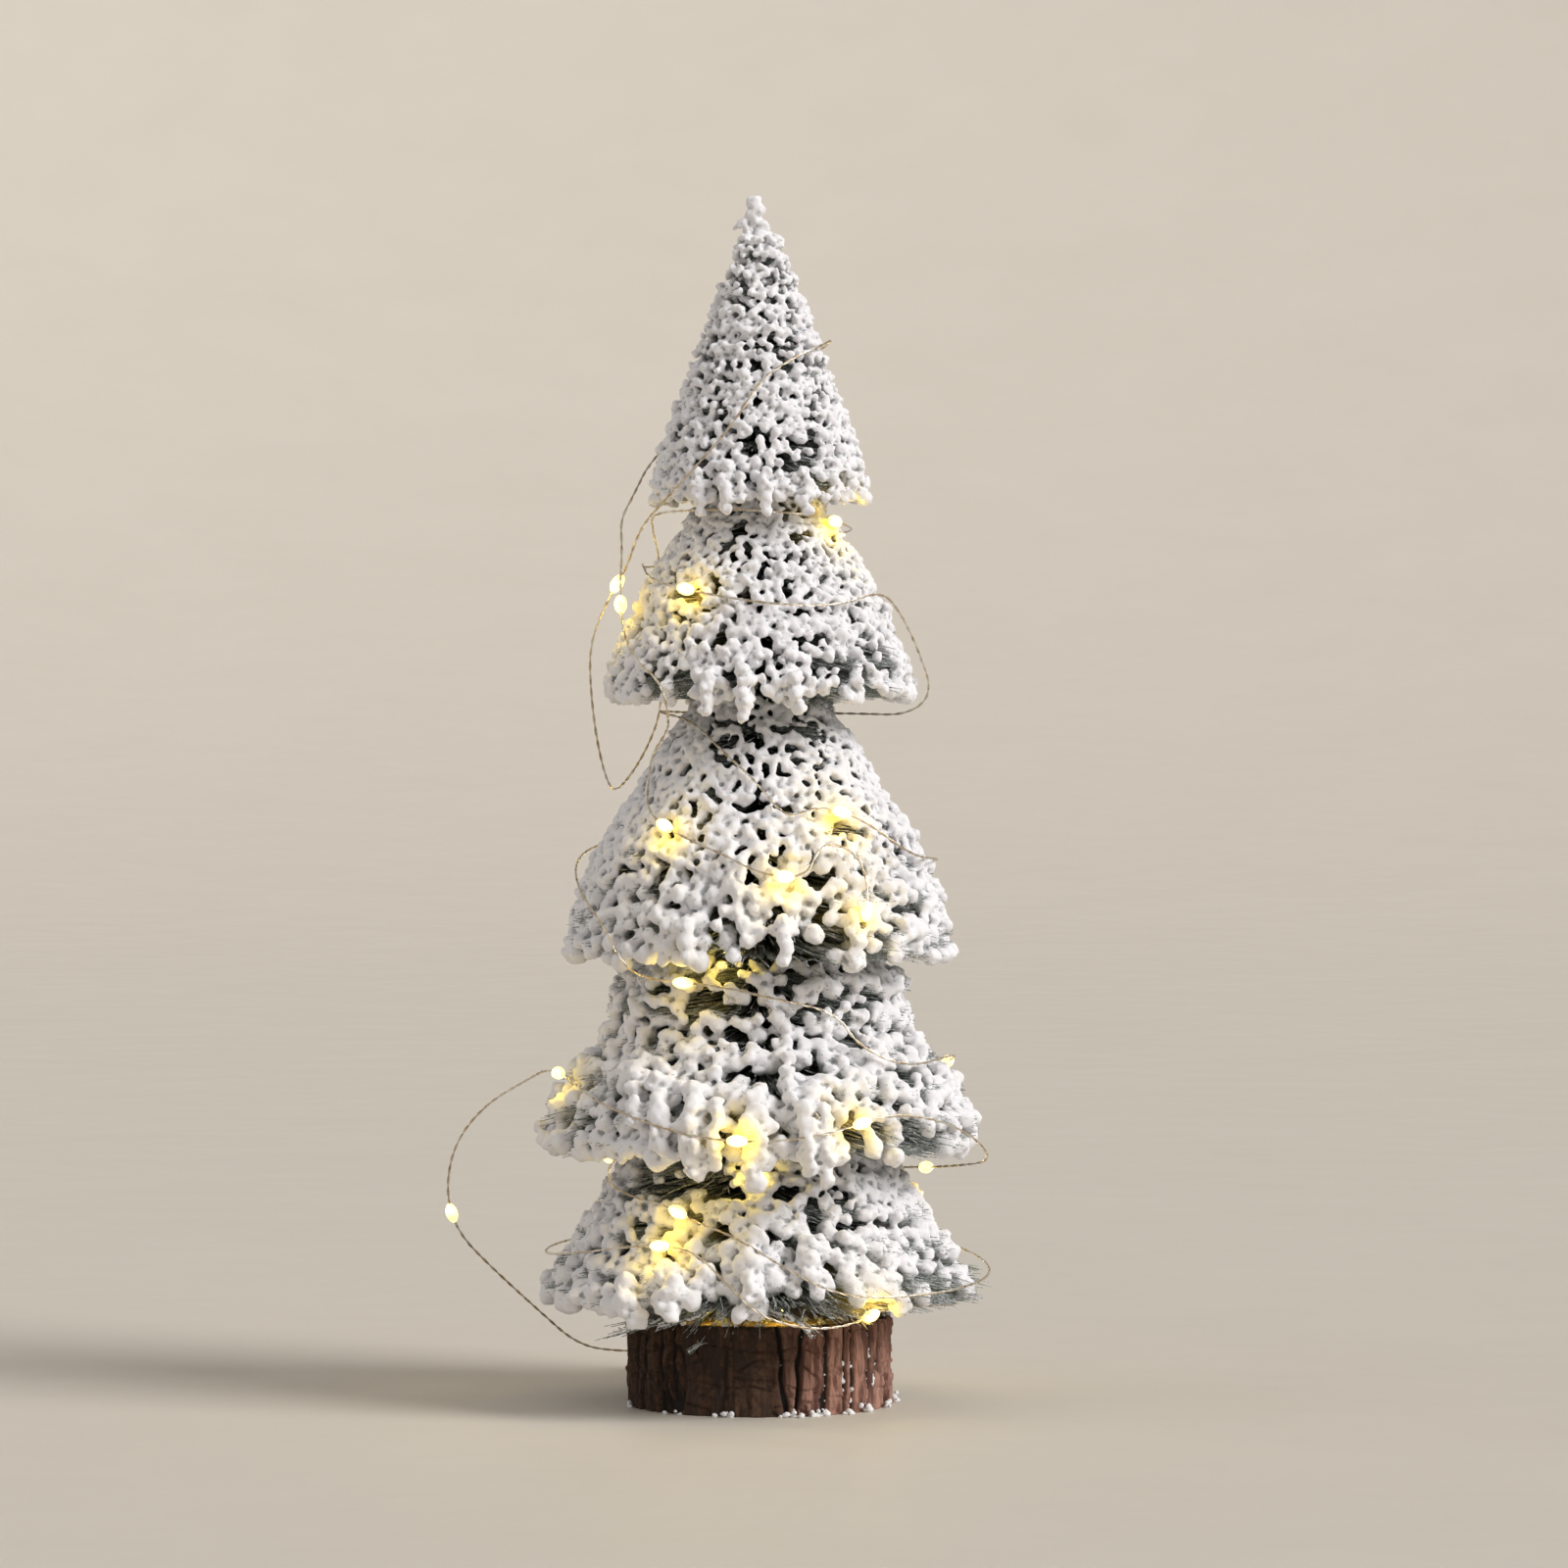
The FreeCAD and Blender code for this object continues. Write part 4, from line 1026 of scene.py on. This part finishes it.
def bark(seed=71):
    """The bark as one closed ring: plates between wavy furrows, with split fibres and a ragged top."""
    rng = np.random.default_rng(seed)
    low, high = (np.array(corner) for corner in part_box("bark_ring"))
    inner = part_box("wood_slice")[1][0]
    outer = high[0] - 0.45 * MM
    around, rows = 900, 66
    angles = np.arange(around) * 2 * math.pi / around
    heights = np.linspace(low[2], high[2], rows)
    widths = rng.uniform(2.4, 6.5, 60) * MM / outer
    edges = np.cumsum(widths)
    edges = edges[edges < 2 * math.pi - 2.2 * MM / outer]
    wide = math.radians(255)
    smooth_half = 13.5 * MM / outer
    edges = np.array([e for e in edges if abs(e - wide) > smooth_half + 2 * MM / outer])
    edges = np.concatenate([edges, [wide - smooth_half, wide, wide + smooth_half]])
    angle, height = np.meshgrid(angles, heights)
    flat = all_round_stem(angle, outer, height).reshape(-1, 3)
    sway = ripple(flat * (1, 1, 0.55), 9 * MM, seed + 1, 3).reshape(angle.shape) * 1.1 * MM
    nearest = np.full(angle.shape, 1.0)
    plate_number = np.zeros(angle.shape, dtype=int)
    for edge in edges:
        lean = rng.normal(0, 0.07) * (height - height.mean())
        gap = (angle - edge + math.pi) % (2 * math.pi) - math.pi
        across = gap * outer + sway + lean
        nearest = np.minimum(nearest, np.abs(across))
        plate_number += (across > 0).astype(int)
    knot_across = ((angle - math.radians(231)) * outer) / (3.1 * MM)
    knot_up = (height - 9 * MM) / (7.5 * MM)
    knot = np.abs(np.hypot(knot_across, knot_up) - 1) * 3.1 * MM + 0.15 * MM + 0.3 * sway
    nearest = np.minimum(nearest, knot)
    plate = smooth_step(nearest, 0.2 * MM, 1.15 * MM)
    shallow = smooth_step(smooth_half * outer - 1.5 * MM - np.abs((angle - wide) * outer), 0, 1 * MM)
    plate = 1 - (1 - plate) * (1 - 0.6 * shallow)
    rise = rng.uniform(-0.45, 0.35, len(edges) + 1)[plate_number] * MM
    fibres = ripple(flat * (1, 1, 0.14), 1.1 * MM, seed + 2, 2).reshape(angle.shape)
    flakes = ripple(flat * (1, 1, 0.5), 3.4 * MM, seed + 3, 3).reshape(angle.shape)
    scales = smooth_step(flakes, -0.1, 0.25)
    crack = ripple(flat * (0.5, 0.5, 1.3), 6 * MM, seed + 4).reshape(angle.shape)
    crack = smooth_step(np.abs(crack), 0.02, 0.16)
    calm = 1 - 0.55 * shallow
    plate = plate * (0.72 + 0.28 * crack)
    relief = rise + calm * (0.26 * fibres + 0.5 * (scales - 0.5)) * MM
    radius = outer - 2.1 * MM * (1 - plate) + plate * relief
    radius = np.clip(radius, inner + 0.35 * MM, high[0] + 0.3 * MM)
    edge_wear = smooth_step(height, high[2] - 1.2 * MM, high[2])
    radius -= edge_wear * 0.35 * MM * (0.6 + 0.4 * flakes)
    top_dip = 0.35 * MM * (1 - plate[-1]) + 0.12 * MM * np.abs(fibres[-1])
    rings = [all_round_stem(angles, r, z) for r, z in zip(radius, heights)]
    rings[-1][:, 2] -= top_dip
    for share in (0.3, 0.65, 1.0):
        r = radius[-1] * (1 - share) + inner * share
        rings.append(all_round_stem(angles, r, high[2] - top_dip * (1 - share)))
    rings.append(all_round_stem(angles, inner, low[2]))
    points = np.concatenate(rings)
    count = len(rings)
    here = np.arange(around)
    ahead = (here + 1) % around
    faces = [np.stack([here + a * around, ahead + a * around, ahead + b * around, here + b * around],
                      axis=-1) for a, b in zip(range(count), [*range(1, count), 0])]
    piece = mesh_object("bark", points, np.concatenate(faces))
    shown = np.concatenate([plate.ravel(), np.tile(plate[-1], 3) * 0.6, np.zeros(around)])
    # The right side's share, for the painted light on the bark and for more specks of snow there.
    right = smooth_step(np.cos(angle - math.radians(-32)), 0.60, 0.86)
    dusting = (0.25 + 0.75 * right) * (0.35 + 0.65 * (1 - plate))
    dusting = np.concatenate([dusting.ravel(), np.full(around * 4, 0.5)])
    set_values(piece, "plate", shown)
    set_values(piece, "dusting", dusting)
    # Painted light: the right side is marked lit, for a lighter, redder bark colour there.
    lit = np.concatenate([(0.85 * right).ravel(), np.full(around * 4, 0.4)])
    set_values(piece, "lit_side", lit)
    piece.data.materials.append(bark_surface())
    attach(piece, "tree")
    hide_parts("bark_ring")
    return radius, plate, angles, heights


def crumbs(radius, plate, angles, heights, surface, lamps):
    """Grains of fallen flock on the bark, its foot and the top of the slice."""
    rng = np.random.default_rng(811)
    places, sizes = [], []
    for _ in range(2600):
        column = rng.integers(0, len(angles))
        row = int(len(heights) * min(0.99, rng.beta(0.9, 1.0)))
        lit = math.cos(angles[column] + math.radians(22))
        if lit < rng.uniform(0.35, 1.1) or plate[row, column] > rng.uniform(0.0, 0.6):
            continue
        clump = rng.integers(2, 6) if rng.random() < 0.16 else 1
        for _ in range(clump):
            reach = radius[row, column] + rng.uniform(-0.05, 0.25) * MM
            angle = angles[column] + rng.normal(0, 0.45 / 33) * (clump > 1)
            height = heights[row] + rng.normal(0, 0.9) * MM * (clump > 1)
            places.append(round_stem(angle, reach, max(height, 0.35 * MM)))
            sizes.append(rng.uniform(0.25, 0.75) * MM if clump > 1 else rng.uniform(0.10, 0.30) * MM)
    for foot in np.radians((-160, -128, -104, -78, -66, -62, -50, -38, -20, 4, 40, 95, 150)):
        for _ in range(rng.integers(3, 12)):
            angle = foot + rng.normal(0, 0.035)
            reach = 33.3 * MM + abs(rng.normal(0, 0.6)) * MM
            places.append(round_stem(angle, reach, abs(rng.normal(0.4, 0.7)) * MM))
            sizes.append(rng.uniform(0.3, 0.85) * MM)
    for _ in range(240):
        angle = rng.uniform(0, 2 * math.pi)
        reach = 31 * MM * math.sqrt(rng.uniform(0.25, 1.08))
        places.append(round_stem(angle, reach, heights[-1] + 0.1 * MM))
        sizes.append(rng.uniform(0.2, 0.75) * MM)
    places, sizes = np.array(places), np.array(sizes)
    axes = random_axes(rng, len(places))
    points, faces = lumpy_balls(places, sizes, axes, rng.uniform(0.8, 1.5, len(sizes)), 812, SMALL_BALL)
    points[:, 2] = np.maximum(points[:, 2], 0.0)
    piece = mesh_object("snow_crumbs", points, faces)
    flocked(piece, 0.4, 0, surface, lamps)


# --- Finishes of the CAD parts ---

def finish_cad_parts():
    """Gives every CAD part that stays in view its own material."""
    steel = moulded("stem_steel", (0.32, 0.34, 0.33), (0.20, 0.22, 0.20), 900, 0.3, 0.5, 0.05, 1.0, (1,
                    1, 0.2))
    plastic = moulded("case_plastic", (0.86, 0.85, 0.81), (0.80, 0.785, 0.73), 1500, 0.42, 0.6, 0.06)
    can = moulded("cell_steel", (0.80, 0.80, 0.82), (0.62, 0.62, 0.64), 700, 0.22, 0.4, 0.03, 1.0, (0.1,
                  1, 1))
    contact = moulded("contact_metal", (0.75, 0.73, 0.68), (0.58, 0.54, 0.47), 1100, 0.25, 0.42, 0.03, 1.0)
    finishes = {
        "wood_slice": wood_surface(),
        "stem_wire_a": steel,
        "stem_wire_b": steel,
        "stem_glue": moulded("glue", (0.86, 0.82, 0.70), (0.74, 0.66, 0.48), 500, 0.12, 0.3, 0.2),
        "led_chips": moulded("lamp_chip", (0.95, 0.80, 0.30), (0.98, 0.90, 0.55), 2500, 0.3, 0.5, 0.02,
                             Emission_Color=(1.0, 0.72, 0.25, 1.0), Emission_Strength=9.0),
        "wire_grommet": moulded("grommet_rubber", (0.78, 0.77, 0.72), (0.66, 0.64, 0.58), 1300, 0.6, 0.8,
                                0.08),
        "battery_case_upper": plastic,
        "battery_case_lower": plastic,
        "battery_cover": plastic,
        "battery_cell_lower": can,
        "battery_cell_upper": can,
        "contact_spring": contact,
        "contact_strip": contact,
        "switch_body": moulded("switch_can", (0.62, 0.62, 0.63), (0.48, 0.48, 0.49), 1000, 0.3, 0.5,
                               0.03, 1.0),
        "switch_knob": moulded("knob_plastic", (0.04, 0.04, 0.045), (0.07, 0.07, 0.075), 1600, 0.35,
                               0.55, 0.06),
        "ballast_resistor": moulded("resistor_body", (0.70, 0.58, 0.40), (0.58, 0.46, 0.30), 1200, 0.35,
                                    0.5, 0.05),
        "lead_positive": moulded("lead_red", (0.55, 0.05, 0.04), (0.42, 0.03, 0.03), 900, 0.4, 0.55, 0.05),
        "lead_negative": moulded("lead_black", (0.03, 0.03, 0.03), (0.06, 0.06, 0.06), 900, 0.4, 0.55, 0.05),
    }
    for name, material in finishes.items():
        for material_slot in nodes[name].material_slots:
            material_slot.material = material


# --- Scene ---

def aimed(thing, direction):
    """Points a camera or a light."""
    thing.rotation_mode = "QUATERNION"
    thing.rotation_quaternion = direction.to_track_quat("-Z", "Y")


def camera():
    data = bpy.data.cameras.new("camera")
    data.lens = CAMERA_LENS
    data.sensor_width = SENSOR_WIDTH
    data.clip_start = 0.05
    view = placed("camera", data, CAMERA_PLACE)
    aimed(view, Vector(CAMERA_TARGET) - Vector(CAMERA_PLACE))
    bpy.context.scene.camera = view


def soft_sun(name, place, strength, width, tone):
    """An even soft light that comes from the direction of place; width is its angle in degrees."""
    data = bpy.data.lights.new(name, "SUN")
    data.energy = strength
    data.angle = math.radians(width)
    data.color = tone
    aimed(placed(name, data, place), -Vector(place))


def studio():
    """A pale floor that curves up all round, an even pale sky and three soft lights."""
    around = 128
    angles = np.linspace(0, 2 * math.pi, around, endpoint=False)
    bend = np.linspace(0, math.pi / 2, 18)
    reaches = np.concatenate(([0.4, 1.2, 2.4], 2.6 + 3.6 * np.sin(bend)))
    heights = np.concatenate(([0, 0, 0], 1.9 * (1 - np.cos(bend))))
    rings = [all_round_stem(angles, r, z) for r, z in zip(reaches, heights)]
    here = np.arange(around)
    ahead = (here + 1) % around
    centre = len(rings) * around
    faces = [np.stack([here, ahead, np.full(around, centre)], axis=-1)]
    for start in np.arange(len(rings) - 1) * around:
        faces.append(np.stack([start + here, start + ahead + around, start + ahead], axis=-1))
        faces.append(np.stack([start + here, start + here + around, start + ahead + around], axis=-1))
    rings.append(np.zeros((1, 3)))
    floor = mesh_object("floor", np.concatenate(rings), np.concatenate(faces))
    s = Surface("floor")
    s.colour(s.mix(s.noise(9, 4), (0.60, 0.555, 0.49), (0.64, 0.595, 0.53)))
    s.bump(s.noise(240, 4), 0.12, 0.3 * MM)
    floor.data.materials.append(s.set(Roughness=s.spread(s.noise(30), 0.3, 0.7, 0.5, 0.62)))
    world = bpy.data.worlds.new("surround")
    world.use_nodes = True
    sky = world.node_tree.nodes["Background"].inputs
    sky["Color"].default_value = (0.80, 0.76, 0.71, 1)
    sky["Strength"].default_value = 0.42
    bpy.context.scene.world = world
    soft_sun("key", (1.0, -0.50, 0.75), 2.8, 28, (1.0, 0.985, 0.965))
    soft_sun("fill", (-1.0, -0.15, 0.55), 0.48, 60, (0.94, 0.96, 1.0))
    soft_sun("front", (0.1, -1.0, 0.55), 0.22, 80, (1.0, 1.0, 1.0))


bpy.context.scene.view_settings.view_transform = "Standard"
path = wire_path()
lamps = lamp_places()
wire_tree = KDTree(len(path))
for number, point in enumerate(path):
    wire_tree.insert(point, number)
wire_tree.balance()

camera()
wire, beads = light_string(path, lamps)

tiers = [Tier(number) for number in range(1, 6)]
snow_finish = snow_surface()
needle_finish = needle_surface()
for tier in tiers:
    needles(tier, needle_finish, lamps)
    snow(tier, snow_finish, wire_tree, lamps)
stray_needles(tiers, needle_finish, lamps)
sprigs(snow_finish, needle_finish, lamps)
bark_shape = bark()
crumbs(*bark_shape, snow_finish, lamps)
finish_cad_parts()
studio()
